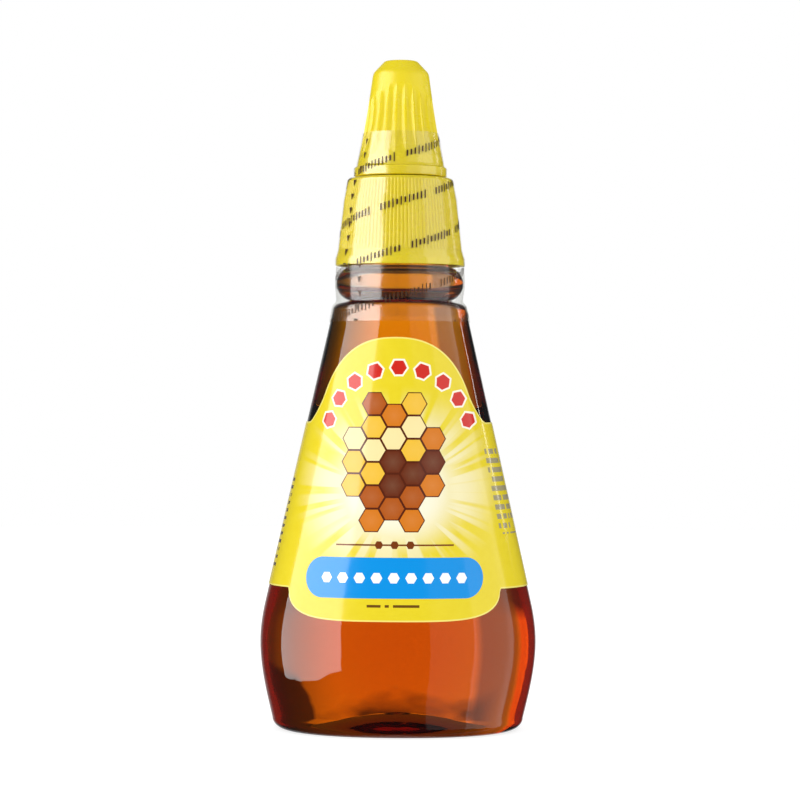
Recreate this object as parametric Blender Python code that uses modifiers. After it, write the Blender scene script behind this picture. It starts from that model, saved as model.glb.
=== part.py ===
"""Honey squeeze bottle: a clear bottle of honey, its label, screw cap, twist spout and shrink film.

The origin is the middle of the base, on the surface that the bottle stands on. +Z is up and
the front of the label faces -Y. Every length is in metres.
"""
import math

import bmesh
import bpy

# Clearances that several pieces share
SEAT_GAP = 0.0003
SKIN_GAP = 0.0002
THREAD_CLEARANCE = 0.0004
CUT_OVERRUN = 0.002
MERGE_DISTANCE = 0.00001

# Fineness of the round shapes
BODY_SIDES = 36
CLOSURE_SIDES = 36
THREAD_STEPS_A_TURN = 24
SHARP_ANGLE_DEG = 35

# Bottle body, from the base up
BASE_HALF_WIDTH = 0.0305
HEEL_HALF_WIDTH = 0.0344
HEEL_HEIGHT = 0.0032
BELLY_HALF_WIDTH = 0.0378
BELLY_HEIGHT = 0.0240
CONE_FOOT_HALF_WIDTH = 0.0364
CONE_FOOT_HEIGHT = 0.0350
SHOULDER_HALF_WIDTH = 0.0184
SHOULDER_HEIGHT = 0.1143
SHOULDER_ROUND = 0.0022
BOTTLE_WALL = 0.0008
PUNT_HALF_WIDTH = 0.0215
PUNT_RISE = 0.0062
PUNT_ROWS = 4
DEPTH_SHARE = 0.81
BODY_CORNER_POWER = 2.2
ROUND_POWER_SHARE = 2.0
HEEL_SLOPE_SHARE = 0.25
CONE_ROWS = 4
SHARPEST_CORNER_SHARE = 0.5

# Bottle neck
BEAD_RADIUS = 0.01745
BEAD_ROUND = 0.0047
BEAD_ARC_DEG = 80
GROOVE_WIDTH = 0.0007
NECK_RADIUS = 0.0119
NECK_WALL = 0.0016
NECK_FLARE_HEIGHT = 0.0030
FINISH_HEIGHT = 0.0213
LIP_ROUND = 0.0004

# Neck thread and the cap's thread that runs on it
NECK_THREAD_LEAD = 0.0042
NECK_THREAD_HEIGHT = 0.0011
NECK_THREAD_ROUND = 0.0009
NECK_THREAD_DROP = 0.0036
NECK_THREAD_TURNS = 1.5
THREAD_TIP_SHARE = 0.35

# Honey
HONEY_LEVEL_BELOW_LIP = 0.0159

# Label
LABEL_THICKNESS = 0.00025
LABEL_TOP_BELOW_SHOULDER = 0.0074
LABEL_ARCH_RISE = 0.0229
LABEL_SIDE_ABOVE_CONE_FOOT = 0.0046
LABEL_ARCH_HALF_ANGLE_DEG = 60
LABEL_ARCH_POWER = 2.3
LABEL_FLARE_START_DEG = 57
LABEL_FLARE_END_DEG = 70
LABEL_TAB_DROP = 0.0083
LABEL_TAB_HALF_ANGLE_DEG = 57
LABEL_TAB_FLATNESS = 4.5
LABEL_TAB_ROUNDNESS = 1.7
LABEL_SEAM_GAP = 0.0008
LABEL_COLUMNS = 64
LABEL_CUT_INNER_SHARE = 0.85
LABEL_CUT_OUTER_SHARE = 1.15

# Cap liner
LINER_THICKNESS = 0.0010

# Screw cap
CAP_DECK_THICKNESS = 0.0014
CAP_TOP_WALL = 0.0010
CAP_WAIST_WALL = 0.00195
CAP_WAIST_DROP = 0.0060
CAP_RIB_FOOT_WALL = 0.00345
CAP_RIB_FOOT_RISE = 0.0044
CAP_LIP_WALL = 0.0042
CAP_LIP_THICKNESS = 0.0011
CAP_LIP_BAND = 0.0018
CAP_SKIRT_CLEARANCE = 0.0002
CAP_SHOULDER_WIDTH = 0.0015
CAP_SHOULDER_DROP = 0.0011
CAP_THREAD_TURNS = 1.25
RIB_COUNT = 96
RIB_DEPTH = 0.0003
RIB_BACKING = 0.0005

# Nozzle and centre pin, moulded with the screw cap
NOZZLE_STEP_HEIGHT = 0.0077
NOZZLE_HEIGHT = 0.0196
NOZZLE_STEP = 0.0018
NOZZLE_WALL = 0.0013
PIN_BASE_RADIUS = 0.0024
PIN_TIP_RADIUS = 0.0019
PIN_TIP_LENGTH = 0.0038
PIN_TIP_ROUND = 0.0004
PIN_TIP_DROP = 0.0002
WINDOW_EDGE = 0.000175
WINDOW_COUNT = 3
SPOUT_THREAD_LEAD = 0.0050
SPOUT_THREAD_HEIGHT = 0.0008
SPOUT_THREAD_ROUND = 0.0007
NOZZLE_THREAD_RISE = 0.0017
NOZZLE_THREAD_BELOW_STEP = 0.0010
SPOUT_THREAD_START_TURN = 0.40

# Twist spout
SPOUT_HEIGHT = 0.0319
SPOUT_FLANGE_SETBACK = 0.0003
SPOUT_FLANGE_HEIGHT = 0.0026
SPOUT_FLANGE_STEP = 0.0006
SPOUT_FLANGE_ROUND = 0.0005
SPOUT_FOOT_WALL = 0.00275
SPOUT_WALL = 0.0012
SPOUT_WAIST = 0.00022
SPOUT_CHAMFER_WIDTH = 0.0033
SPOUT_CHAMFER_HEIGHT = 0.0032
SPOUT_EDGE_INSET = 0.0003
SPOUT_EDGE_HEIGHT = 0.0009
SPOUT_TIP_THICKNESS = 0.0015
SPOUT_DOME_WIDTH = 0.0034
SPOUT_DOME_HEIGHT = 0.0044
ORIFICE_CLEARANCE = 0.0003
SEAL_RING_THICKNESS = 0.0013
FLUTE_COUNT = 24
FLUTE_POINTS = 3
FLUTE_ROWS = 8
FLUTE_DEPTH = 0.0005
FLUTE_FOOT_RISE = 0.0058
FLUTE_SIDE_TOP_RISE = 0.0212
FLUTE_FRONT_TOP_RISE = 0.0252

# Shrink film
FILM_THICKNESS = 0.0003
FILM_SPOUT_TOP_RISE = 0.0104
FILM_CAP_SHOULDER_DEG = 50
FILM_BEAD_TOP_DEG = 35
FILM_BEAD_FOOT_DEG = -25
FILM_WAIST_DEG = -53
FILM_WAIST_STAND_OFF = 0.00055
FILM_BODY_SHOULDER_DEG = 60
FILM_NECK_FOOT_DROP = 0.0030
FILM_TEAR_GAP = 0.0005

# Heights and radii that follow from the values above
SHOULDER_TOP_HEIGHT = SHOULDER_HEIGHT + SHOULDER_ROUND
BEAD_HEIGHT = SHOULDER_TOP_HEIGHT + GROOVE_WIDTH + BEAD_ROUND
BEAD_TOP_HEIGHT = BEAD_HEIGHT + BEAD_ROUND
BEAD_CENTRE_RADIUS = BEAD_RADIUS - BEAD_ROUND
LIP_HEIGHT = BEAD_TOP_HEIGHT + FINISH_HEIGHT
NECK_BORE_RADIUS = NECK_RADIUS - NECK_WALL
HONEY_LEVEL = LIP_HEIGHT - HONEY_LEVEL_BELOW_LIP
NECK_THREAD_TOP = LIP_HEIGHT - NECK_THREAD_DROP
NECK_THREAD_FOOT = NECK_THREAD_TOP - NECK_THREAD_TURNS * NECK_THREAD_LEAD
NECK_THREAD_RADIUS = NECK_RADIUS + NECK_THREAD_HEIGHT

LABEL_SIDE_TOP = SHOULDER_HEIGHT - LABEL_TOP_BELOW_SHOULDER - LABEL_ARCH_RISE
LABEL_SIDE_FOOT = CONE_FOOT_HEIGHT + LABEL_SIDE_ABOVE_CONE_FOOT

CAP_BORE_RADIUS = NECK_THREAD_RADIUS + THREAD_CLEARANCE
LINER_FOOT = LIP_HEIGHT + SEAT_GAP
CAP_DECK_FOOT = LINER_FOOT + LINER_THICKNESS + SEAT_GAP
CAP_DECK_TOP = CAP_DECK_FOOT + CAP_DECK_THICKNESS
CAP_SKIRT_FOOT = BEAD_TOP_HEIGHT + CAP_SKIRT_CLEARANCE
CAP_LIP_RADIUS = CAP_BORE_RADIUS + CAP_LIP_WALL
CAP_TOP_RADIUS = CAP_BORE_RADIUS + CAP_TOP_WALL
CAP_DECK_RADIUS = CAP_TOP_RADIUS - CAP_SHOULDER_WIDTH
CAP_RIB_TOP = CAP_DECK_TOP - CAP_SHOULDER_DROP
CAP_RIB_FOOT = CAP_SKIRT_FOOT + CAP_RIB_FOOT_RISE

SPOUT_FOOT = CAP_DECK_TOP + SEAT_GAP
SPOUT_TOP = SPOUT_FOOT + SPOUT_HEIGHT
SPOUT_FLANGE_RADIUS = CAP_DECK_RADIUS - SPOUT_FLANGE_SETBACK
SPOUT_FOOT_RADIUS = SPOUT_FLANGE_RADIUS - SPOUT_FLANGE_STEP
SPOUT_THREAD_BORE = SPOUT_FOOT_RADIUS - SPOUT_FOOT_WALL
NOZZLE_THREAD_RADIUS = SPOUT_THREAD_BORE - THREAD_CLEARANCE
NOZZLE_RADIUS = NOZZLE_THREAD_RADIUS - SPOUT_THREAD_HEIGHT
NOZZLE_TIP_RADIUS = NOZZLE_RADIUS - NOZZLE_STEP
NOZZLE_BORE_RADIUS = NOZZLE_RADIUS - NOZZLE_WALL
NOZZLE_TIP_BORE_RADIUS = NOZZLE_TIP_RADIUS - NOZZLE_WALL
NOZZLE_STEP_TOP = CAP_DECK_TOP + NOZZLE_STEP_HEIGHT
NOZZLE_TOP = CAP_DECK_TOP + NOZZLE_HEIGHT
NOZZLE_THREAD_REACH = NOZZLE_STEP_HEIGHT - NOZZLE_THREAD_RISE - NOZZLE_THREAD_BELOW_STEP
NOZZLE_THREAD_TURNS = NOZZLE_THREAD_REACH / SPOUT_THREAD_LEAD
PIN_TOP = SPOUT_TOP - PIN_TIP_DROP
SEAL_RING_FOOT = NOZZLE_STEP_TOP + SEAT_GAP
SPOUT_STEP_HEIGHT = SEAL_RING_FOOT + SEAL_RING_THICKNESS + SEAT_GAP
SPOUT_BORE_RADIUS = NOZZLE_TIP_RADIUS + SEAT_GAP
SPOUT_TOP_RADIUS = SPOUT_BORE_RADIUS + SPOUT_WALL
SPOUT_CHAMFER_FOOT = SPOUT_TOP - SPOUT_CHAMFER_HEIGHT
SPOUT_CONE_TOP = SPOUT_CHAMFER_FOOT - SPOUT_EDGE_HEIGHT
SPOUT_CONE_FOOT = SPOUT_FOOT + SPOUT_FLANGE_HEIGHT
ORIFICE_RADIUS = PIN_TIP_RADIUS + ORIFICE_CLEARANCE


def empty_scene():
    """Take away whatever the file holds."""
    for old in list(bpy.data.objects):
        bpy.data.objects.remove(old, do_unlink=True)


def new_collection(name):
    collection = bpy.data.collections.new(name)
    bpy.context.scene.collection.children.link(collection)
    return collection


def mesh_object(name, mesh, collection):
    obj = bpy.data.objects.new(name, mesh)
    collection.objects.link(obj)
    return obj


def give_material(obj, colour, roughness, see_through=0.0):
    """A Principled material of the piece's own."""
    material = bpy.data.materials.new(obj.name + "_material")
    material.use_nodes = True
    shader = material.node_tree.nodes["Principled BSDF"]
    shader.inputs["Base Color"].default_value = (*colour, 1.0)
    shader.inputs["Roughness"].default_value = roughness
    shader.inputs["Metallic"].default_value = 0.0
    shader.inputs["Transmission Weight"].default_value = see_through
    obj.data.materials.clear()
    obj.data.materials.append(material)


def evaluated_mesh(obj):
    """The mesh that the object's modifiers or curve settings make, in its own space."""
    bpy.context.view_layer.update()
    depsgraph = bpy.context.evaluated_depsgraph_get()
    return bpy.data.meshes.new_from_object(obj.evaluated_get(depsgraph))


def settle(obj):
    """Turn the modifiers into plain mesh, welded and shaded smooth between its sharp edges."""
    mesh = evaluated_mesh(obj)
    obj.modifiers.clear()
    work = bmesh.new()
    work.from_mesh(mesh)
    bmesh.ops.remove_doubles(work, verts=work.verts, dist=MERGE_DISTANCE)
    bmesh.ops.dissolve_degenerate(work, edges=work.edges, dist=MERGE_DISTANCE)
    bmesh.ops.recalc_face_normals(work, faces=work.faces)
    work.to_mesh(mesh)
    work.free()
    mesh.shade_smooth()
    mesh.set_sharp_from_angle(angle=math.radians(SHARP_ANGLE_DEG))
    obj.data = mesh
    return obj


def make_tool(obj):
    """Mark a shape that only cuts or joins another one."""
    obj.hide_render = True
    obj.display_type = "WIRE"
    return obj


def combine(obj, tool, operation):
    """Join the tool to the object, or cut it out of it."""
    boolean = obj.modifiers.new(tool.name, "BOOLEAN")
    boolean.operation = operation
    boolean.solver = "EXACT"
    boolean.object = make_tool(tool)


def turned(name, profile, collection, sides, closed=True):
    """Turn a profile of (radius, height) points about Z. Its outer side runs from top to bottom."""
    points = [(radius, 0.0, height) for radius, height in profile]
    edges = [(i, i + 1) for i in range(len(points) - 1)]
    if closed:
        edges.append((len(points) - 1, 0))
    mesh = bpy.data.meshes.new(name)
    mesh.from_pydata(points, edges, [])
    obj = mesh_object(name, mesh, collection)
    screw = obj.modifiers.new("turn", "SCREW")
    screw.axis = "Z"
    screw.steps = sides
    screw.render_steps = sides
    screw.use_merge_vertices = True
    screw.merge_threshold = MERGE_DISTANCE
    return obj


def arc(centre_radius, centre_height, radius, rise, start_deg, end_deg, steps):
    """Points on an arc, at equal angles. Its half sizes are radius across and rise up."""
    points = []
    for i in range(steps + 1):
        angle = math.radians(start_deg + (end_deg - start_deg) * i / steps)
        points.append((centre_radius + radius * math.cos(angle), centre_height + rise * math.sin(angle)))
    return points


def blend(low, high, share):
    return low + (high - low) * share


def eased_curve(start, start_slope, end, end_slope, steps):
    """Points (radius, height) on a smooth curve between two points, the slopes being radius to height."""
    span = end[1] - start[1]
    points = []
    for i in range(steps + 1):
        t = i / steps
        keep_start = 2 * t ** 3 - 3 * t ** 2 + 1
        lean_start = t ** 3 - 2 * t ** 2 + t
        lean_end = t ** 3 - t ** 2
        radius = keep_start * start[0] + (1 - keep_start) * end[0]
        radius += span * (lean_start * start_slope + lean_end * end_slope)
        points.append((radius, blend(start[1], end[1], t)))
    return points


def cone_slope():
    return (SHOULDER_HALF_WIDTH - CONE_FOOT_HALF_WIDTH) / (SHOULDER_HEIGHT - CONE_FOOT_HEIGHT)


def body_half_width(height):
    """Half width of the straight cone and of the belly just under it."""
    if height >= CONE_FOOT_HEIGHT:
        return CONE_FOOT_HALF_WIDTH + cone_slope() * (height - CONE_FOOT_HEIGHT)
    span = CONE_FOOT_HEIGHT - BELLY_HEIGHT
    t = (height - BELLY_HEIGHT) / span
    keep_start = 2 * t ** 3 - 3 * t ** 2 + 1
    width = keep_start * BELLY_HALF_WIDTH + (1 - keep_start) * CONE_FOOT_HALF_WIDTH
    return width + span * (t ** 3 - t ** 2) * cone_slope()


def oval_amount(height):
    """Nothing at the round shoulder, all of it from the foot of the cone down."""
    amount = (SHOULDER_HEIGHT - height) / (SHOULDER_HEIGHT - CONE_FOOT_HEIGHT)
    return min(1.0, max(0.0, amount))


def oval_share(height):
    """Depth over width at a height."""
    return blend(1.0, DEPTH_SHARE, oval_amount(height))


def oval_point(half_width, half_depth, height, angle, power):
    """A point on an oval ring. Angle 0 is at the front, -Y, and a quarter turn is at +X."""
    across = math.copysign(abs(math.sin(angle)) ** (2 / power), math.sin(angle))
    along = math.copysign(abs(math.cos(angle)) ** (2 / power), math.cos(angle))
    return (half_width * across, -half_depth * along, height)


def section_point(half_width, half_depth, height, angle):
    power = blend(ROUND_POWER_SHARE, BODY_CORNER_POWER, oval_amount(height))
    return oval_point(half_width, half_depth, height, angle, power)


def oval_ring(half_width, half_depth, height):
    return [section_point(half_width, half_depth, height, math.tau * side / BODY_SIDES)
            for side in range(BODY_SIDES)]


def offset_rows(rows, distance):
    """Move rows of (half width, half depth, height) square to the outline, to its left-hand side."""
    moved = []
    for i, (width, depth, height) in enumerate(rows):
        before = rows[max(i - 1, 0)]
        after = rows[min(i + 1, len(rows) - 1)]
        first = (width - before[0], height - before[2])
        second = (after[0] - width, after[2] - height)
        first_length = math.hypot(*first) or 1.0
        second_length = math.hypot(*second) or 1.0
        lean = first[0] / first_length + second[0] / second_length
        climb = first[1] / first_length + second[1] / second_length
        length = math.hypot(lean, climb)
        corner = max(length / (2 if 0 < i < len(rows) - 1 else 1), SHARPEST_CORNER_SHARE)
        shift = (-climb / length * distance / corner, lean / length * distance / corner)
        if width == 0:
            moved.append((0.0, 0.0, height + shift[1]))
        else:
            moved.append((width + shift[0], depth + shift[0], height + shift[1]))
    return moved


def lofted(name, rows, collection):
    """A closed body through oval rows, from a point on the axis to another point on the axis."""
    work = bmesh.new()
    previous = [work.verts.new((0.0, 0.0, rows[0][2]))]
    for width, depth, height in rows[1:-1]:
        ring = [work.verts.new(point) for point in oval_ring(width, depth, height)]
        join_rings(work, previous, ring)
        previous = ring
    join_rings(work, previous, [work.verts.new((0.0, 0.0, rows[-1][2]))])
    bmesh.ops.recalc_face_normals(work, faces=work.faces)
    mesh = bpy.data.meshes.new(name)
    work.to_mesh(mesh)
    work.free()
    return mesh_object(name, mesh, collection)


def join_rings(work, first, second):
    """Faces between two rings of vertices, either of which may be a single point."""
    count = max(len(first), len(second))
    for i in range(count):
        j = (i + 1) % count
        corners = [first[i % len(first)], first[j % len(first)], second[j % len(second)], second[i % len(second)]]
        kept = [corner for k, corner in enumerate(corners) if corner not in corners[:k]]
        work.faces.new(kept)


def ring_body(name, rings, collection):
    """A closed body through rings of points, with the last ring joined to the first."""
    work = bmesh.new()
    made = [[work.verts.new(point) for point in ring] for ring in rings]
    for first, second in zip(made, made[1:] + made[:1]):
        join_rings(work, first, second)
    bmesh.ops.recalc_face_normals(work, faces=work.faces)
    mesh = bpy.data.meshes.new(name)
    work.to_mesh(mesh)
    work.free()
    return mesh_object(name, mesh, collection)


def helical_ridge(name, centre_radius, ridge_round, lead, start_height, start_turn, turns, collection):
    """A right-handed thread ridge: a round rib along a helix that thins out at both ends."""
    steps = max(4, round(THREAD_STEPS_A_TURN * turns))
    curve = bpy.data.curves.new(name + "_path", "CURVE")
    curve.dimensions = "3D"
    curve.bevel_depth = ridge_round
    curve.bevel_resolution = 1
    curve.use_fill_caps = True
    spline = curve.splines.new("POLY")
    spline.points.add(steps)
    for i, point in enumerate(spline.points):
        turn = start_turn + turns * i / steps
        angle = math.tau * turn
        height = start_height + lead * turn
        point.co = (centre_radius * math.cos(angle), centre_radius * math.sin(angle), height, 1.0)
        point.radius = THREAD_TIP_SHARE if i in (0, steps) else 1.0
    path = bpy.data.objects.new(name + "_path", curve)
    collection.objects.link(path)
    mesh = evaluated_mesh(path)
    bpy.data.objects.remove(path, do_unlink=True)
    work = bmesh.new()
    work.from_mesh(mesh)
    bmesh.ops.remove_doubles(work, verts=work.verts, dist=MERGE_DISTANCE)
    bmesh.ops.recalc_face_normals(work, faces=work.faces)
    work.to_mesh(mesh)
    work.free()
    return mesh_object(name, mesh, collection)


def thread_offset(outer_centre, inner_centre, ridge_round, clearance):
    """How far along the axis two thread ridges lie so that they just clear each other."""
    apart = 2 * ridge_round + clearance
    across = outer_centre - inner_centre
    return math.sqrt(max(apart ** 2 - across ** 2, 0.0))


def wall_profile():
    """The bottle's side wall, from the belly up to the edge of the shoulder."""
    belly = (BELLY_HALF_WIDTH, BELLY_HEIGHT)
    cone_foot = (CONE_FOOT_HALF_WIDTH, CONE_FOOT_HEIGHT)
    profile = eased_curve(belly, 0.0, cone_foot, cone_slope(), 2)
    for i in range(1, CONE_ROWS + 1):
        height = blend(CONE_FOOT_HEIGHT, SHOULDER_HEIGHT, i / CONE_ROWS)
        profile.append((body_half_width(height), height))
    return profile


def oval_rows(profile):
    return [(width, width * oval_share(height), height) for width, height in profile]


def bottle_outline():
    """Outer rows of the bottle, from the middle of the punt to the foot of the neck."""
    profile = []
    for i in range(PUNT_ROWS):
        across = i / PUNT_ROWS
        profile.append((PUNT_HALF_WIDTH * across, PUNT_RISE * (1 - across ** 2)))
    profile.append((PUNT_HALF_WIDTH, 0.0))
    heel = (HEEL_HALF_WIDTH - BASE_HALF_WIDTH, HEEL_HEIGHT)
    profile += arc(BASE_HALF_WIDTH, HEEL_HEIGHT, heel[0], heel[1], -90, 0, 3)
    belly = (BELLY_HALF_WIDTH, BELLY_HEIGHT)
    profile += eased_curve(profile[-1], HEEL_SLOPE_SHARE, belly, 0.0, 3)[1:]
    profile += wall_profile()[1:-1]
    corner_radius = SHOULDER_HALF_WIDTH - SHOULDER_ROUND
    profile += arc(corner_radius, SHOULDER_HEIGHT, SHOULDER_ROUND, SHOULDER_ROUND, 0, 90, 3)
    profile += arc(BEAD_CENTRE_RADIUS, BEAD_HEIGHT, BEAD_ROUND, BEAD_ROUND, -BEAD_ARC_DEG, BEAD_ARC_DEG, 6)
    return oval_rows(profile)


def bottle_inner_rows():
    """Inner rows of the bottle, from the middle of the base to the foot of the neck's bore."""
    return offset_rows(bottle_outline(), BOTTLE_WALL)


def round_rows(profile):
    return [(radius, radius, height) for radius, height in profile]


def make_bottle(parts, tools):
    """Blow-moulded bottle: a thin body under a thick moulded neck with an outside thread."""
    neck_foot = BEAD_TOP_HEIGHT + NECK_FLARE_HEIGHT
    neck = round_rows([
        (NECK_RADIUS, neck_foot),
        (NECK_RADIUS, LIP_HEIGHT - LIP_ROUND),
        (NECK_RADIUS - LIP_ROUND, LIP_HEIGHT),
        (NECK_BORE_RADIUS + LIP_ROUND, LIP_HEIGHT),
        (NECK_BORE_RADIUS, LIP_HEIGHT - LIP_ROUND),
        (NECK_BORE_RADIUS, neck_foot),
    ])
    rows = bottle_outline() + neck + bottle_inner_rows()[::-1]
    bottle = lofted("bottle_body", rows, parts)
    ridge = helical_ridge("neck_thread", NECK_THREAD_RADIUS - NECK_THREAD_ROUND, NECK_THREAD_ROUND,
                          NECK_THREAD_LEAD, NECK_THREAD_FOOT, 0.0, NECK_THREAD_TURNS, tools)
    combine(bottle, ridge, "UNION")
    settle(bottle)
    give_material(bottle, (0.86, 0.86, 0.84), 0.05, 0.9)


def make_honey(parts):
    """The honey fills the bottle to a level inside the neck."""
    bore_radius = NECK_BORE_RADIUS - SEAT_GAP
    rows = offset_rows(bottle_inner_rows(), SEAT_GAP)
    rows += round_rows([
        (bore_radius, BEAD_TOP_HEIGHT + NECK_FLARE_HEIGHT),
        (bore_radius, HONEY_LEVEL),
        (0.0, HONEY_LEVEL),
    ])
    honey = lofted("honey_fill", rows, parts)
    settle(honey)
    give_material(honey, (0.70, 0.22, 0.01), 0.08, 0.6)


def dome(reach, flatness, roundness):
    """A rounded hump: 1 at the middle and 0 where the reach is 1."""
    return (1 - min(reach, 1.0) ** flatness) ** (1 / roundness)


def label_top(angle):
    """Height of the label's top edge: level round the sides, flaring up into a round front arch."""
    degrees = abs(math.degrees(angle))
    arch_degrees = min(degrees, LABEL_FLARE_START_DEG)
    arch = dome(arch_degrees / LABEL_ARCH_HALF_ANGLE_DEG, LABEL_ARCH_POWER, LABEL_ARCH_POWER)
    flare_width = LABEL_FLARE_END_DEG - LABEL_FLARE_START_DEG
    flare = (LABEL_FLARE_END_DEG - max(degrees, LABEL_FLARE_START_DEG)) / flare_width
    return LABEL_SIDE_TOP + LABEL_ARCH_RISE * arch * max(flare, 0.0) ** 2


def label_foot(angle):
    """Height of the label's lower edge: level round the sides, with a round tab at the front."""
    reach = abs(math.degrees(angle)) / LABEL_TAB_HALF_ANGLE_DEG
    return LABEL_SIDE_FOOT - LABEL_TAB_DROP * dome(reach, LABEL_TAB_FLATNESS, LABEL_TAB_ROUNDNESS)


def label_cut(tools):
    """The space between the label's two edges, right through the wall, from seam to seam."""
    seam_angle = LABEL_SEAM_GAP / (2 * body_half_width(LABEL_SIDE_TOP) * DEPTH_SHARE)
    work = bmesh.new()
    columns = []
    for i in range(LABEL_COLUMNS + 1):
        angle = blend(seam_angle - math.pi, math.pi - seam_angle, i / LABEL_COLUMNS)
        column = []
        for share, height in (
            (LABEL_CUT_INNER_SHARE, label_foot(angle)),
            (LABEL_CUT_OUTER_SHARE, label_foot(angle)),
            (LABEL_CUT_OUTER_SHARE, label_top(angle)),
            (LABEL_CUT_INNER_SHARE, label_top(angle)),
        ):
            width = body_half_width(height) * share
            column.append(work.verts.new(section_point(width, width * oval_share(height), height, angle)))
        columns.append(column)
    for left, right in zip(columns, columns[1:]):
        join_rings(work, left, right)
    work.faces.new(columns[0])
    work.faces.new(columns[-1])
    bmesh.ops.recalc_face_normals(work, faces=work.faces)
    mesh = bpy.data.meshes.new("label_cut")
    work.to_mesh(mesh)
    work.free()
    return mesh_object("label_cut", mesh, tools)


def make_label(parts, tools):
    """Printed wrap label: one sheet that follows the wall, with its two ends meeting at the back."""
    wall = oval_rows(wall_profile())
    near = offset_rows(wall, -SKIN_GAP)
    far = offset_rows(wall, -SKIN_GAP - LABEL_THICKNESS)
    label = ring_body("wrap_label", [oval_ring(*row) for row in near + far[::-1]], parts)
    combine(label, label_cut(tools), "INTERSECT")
    settle(label)
    give_material(label, (0.87, 0.71, 0.04), 0.35)


def make_liner(parts):
    """Soft liner ring that seals the lip of the bottle under the cap's deck."""
    outer = CAP_BORE_RADIUS - THREAD_CLEARANCE
    inner = NECK_BORE_RADIUS + SEAT_GAP
    top = LINER_FOOT + LINER_THICKNESS
    liner = turned("cap_liner", [(outer, top), (outer, LINER_FOOT), (inner, LINER_FOOT), (inner, top)],
                   parts, CLOSURE_SIDES)
    settle(liner)
    give_material(liner, (0.85, 0.85, 0.82), 0.6)


def collar_outline():
    """Crests of the cap's ribs and the plain flared lip, from the shoulder down."""
    return [
        (CAP_TOP_RADIUS, CAP_RIB_TOP),
        (CAP_BORE_RADIUS + CAP_WAIST_WALL, CAP_DECK_TOP - CAP_WAIST_DROP),
        (CAP_BORE_RADIUS + CAP_RIB_FOOT_WALL, CAP_RIB_FOOT),
        (CAP_LIP_RADIUS, CAP_SKIRT_FOOT + CAP_LIP_BAND),
        (CAP_LIP_RADIUS, CAP_SKIRT_FOOT),
    ]


def rib_sleeve(name, outline, collection):
    """A ring whose outside carries the fine upright gripping ribs."""
    rows = [(radius, radius - RIB_DEPTH, height) for radius, height in outline]
    backing = RIB_DEPTH + RIB_BACKING
    rows += [(radius - backing, radius - backing, height) for radius, height in outline[::-1]]
    count = 2 * RIB_COUNT
    rings = []
    for crest, valley, height in rows:
        ring = []
        for i in range(count):
            angle = math.tau * i / count
            radius = crest if i % 2 == 0 else valley
            ring.append((radius * math.cos(angle), radius * math.sin(angle), height))
        rings.append(ring)
    return ring_body(name, rings, collection)


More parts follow.
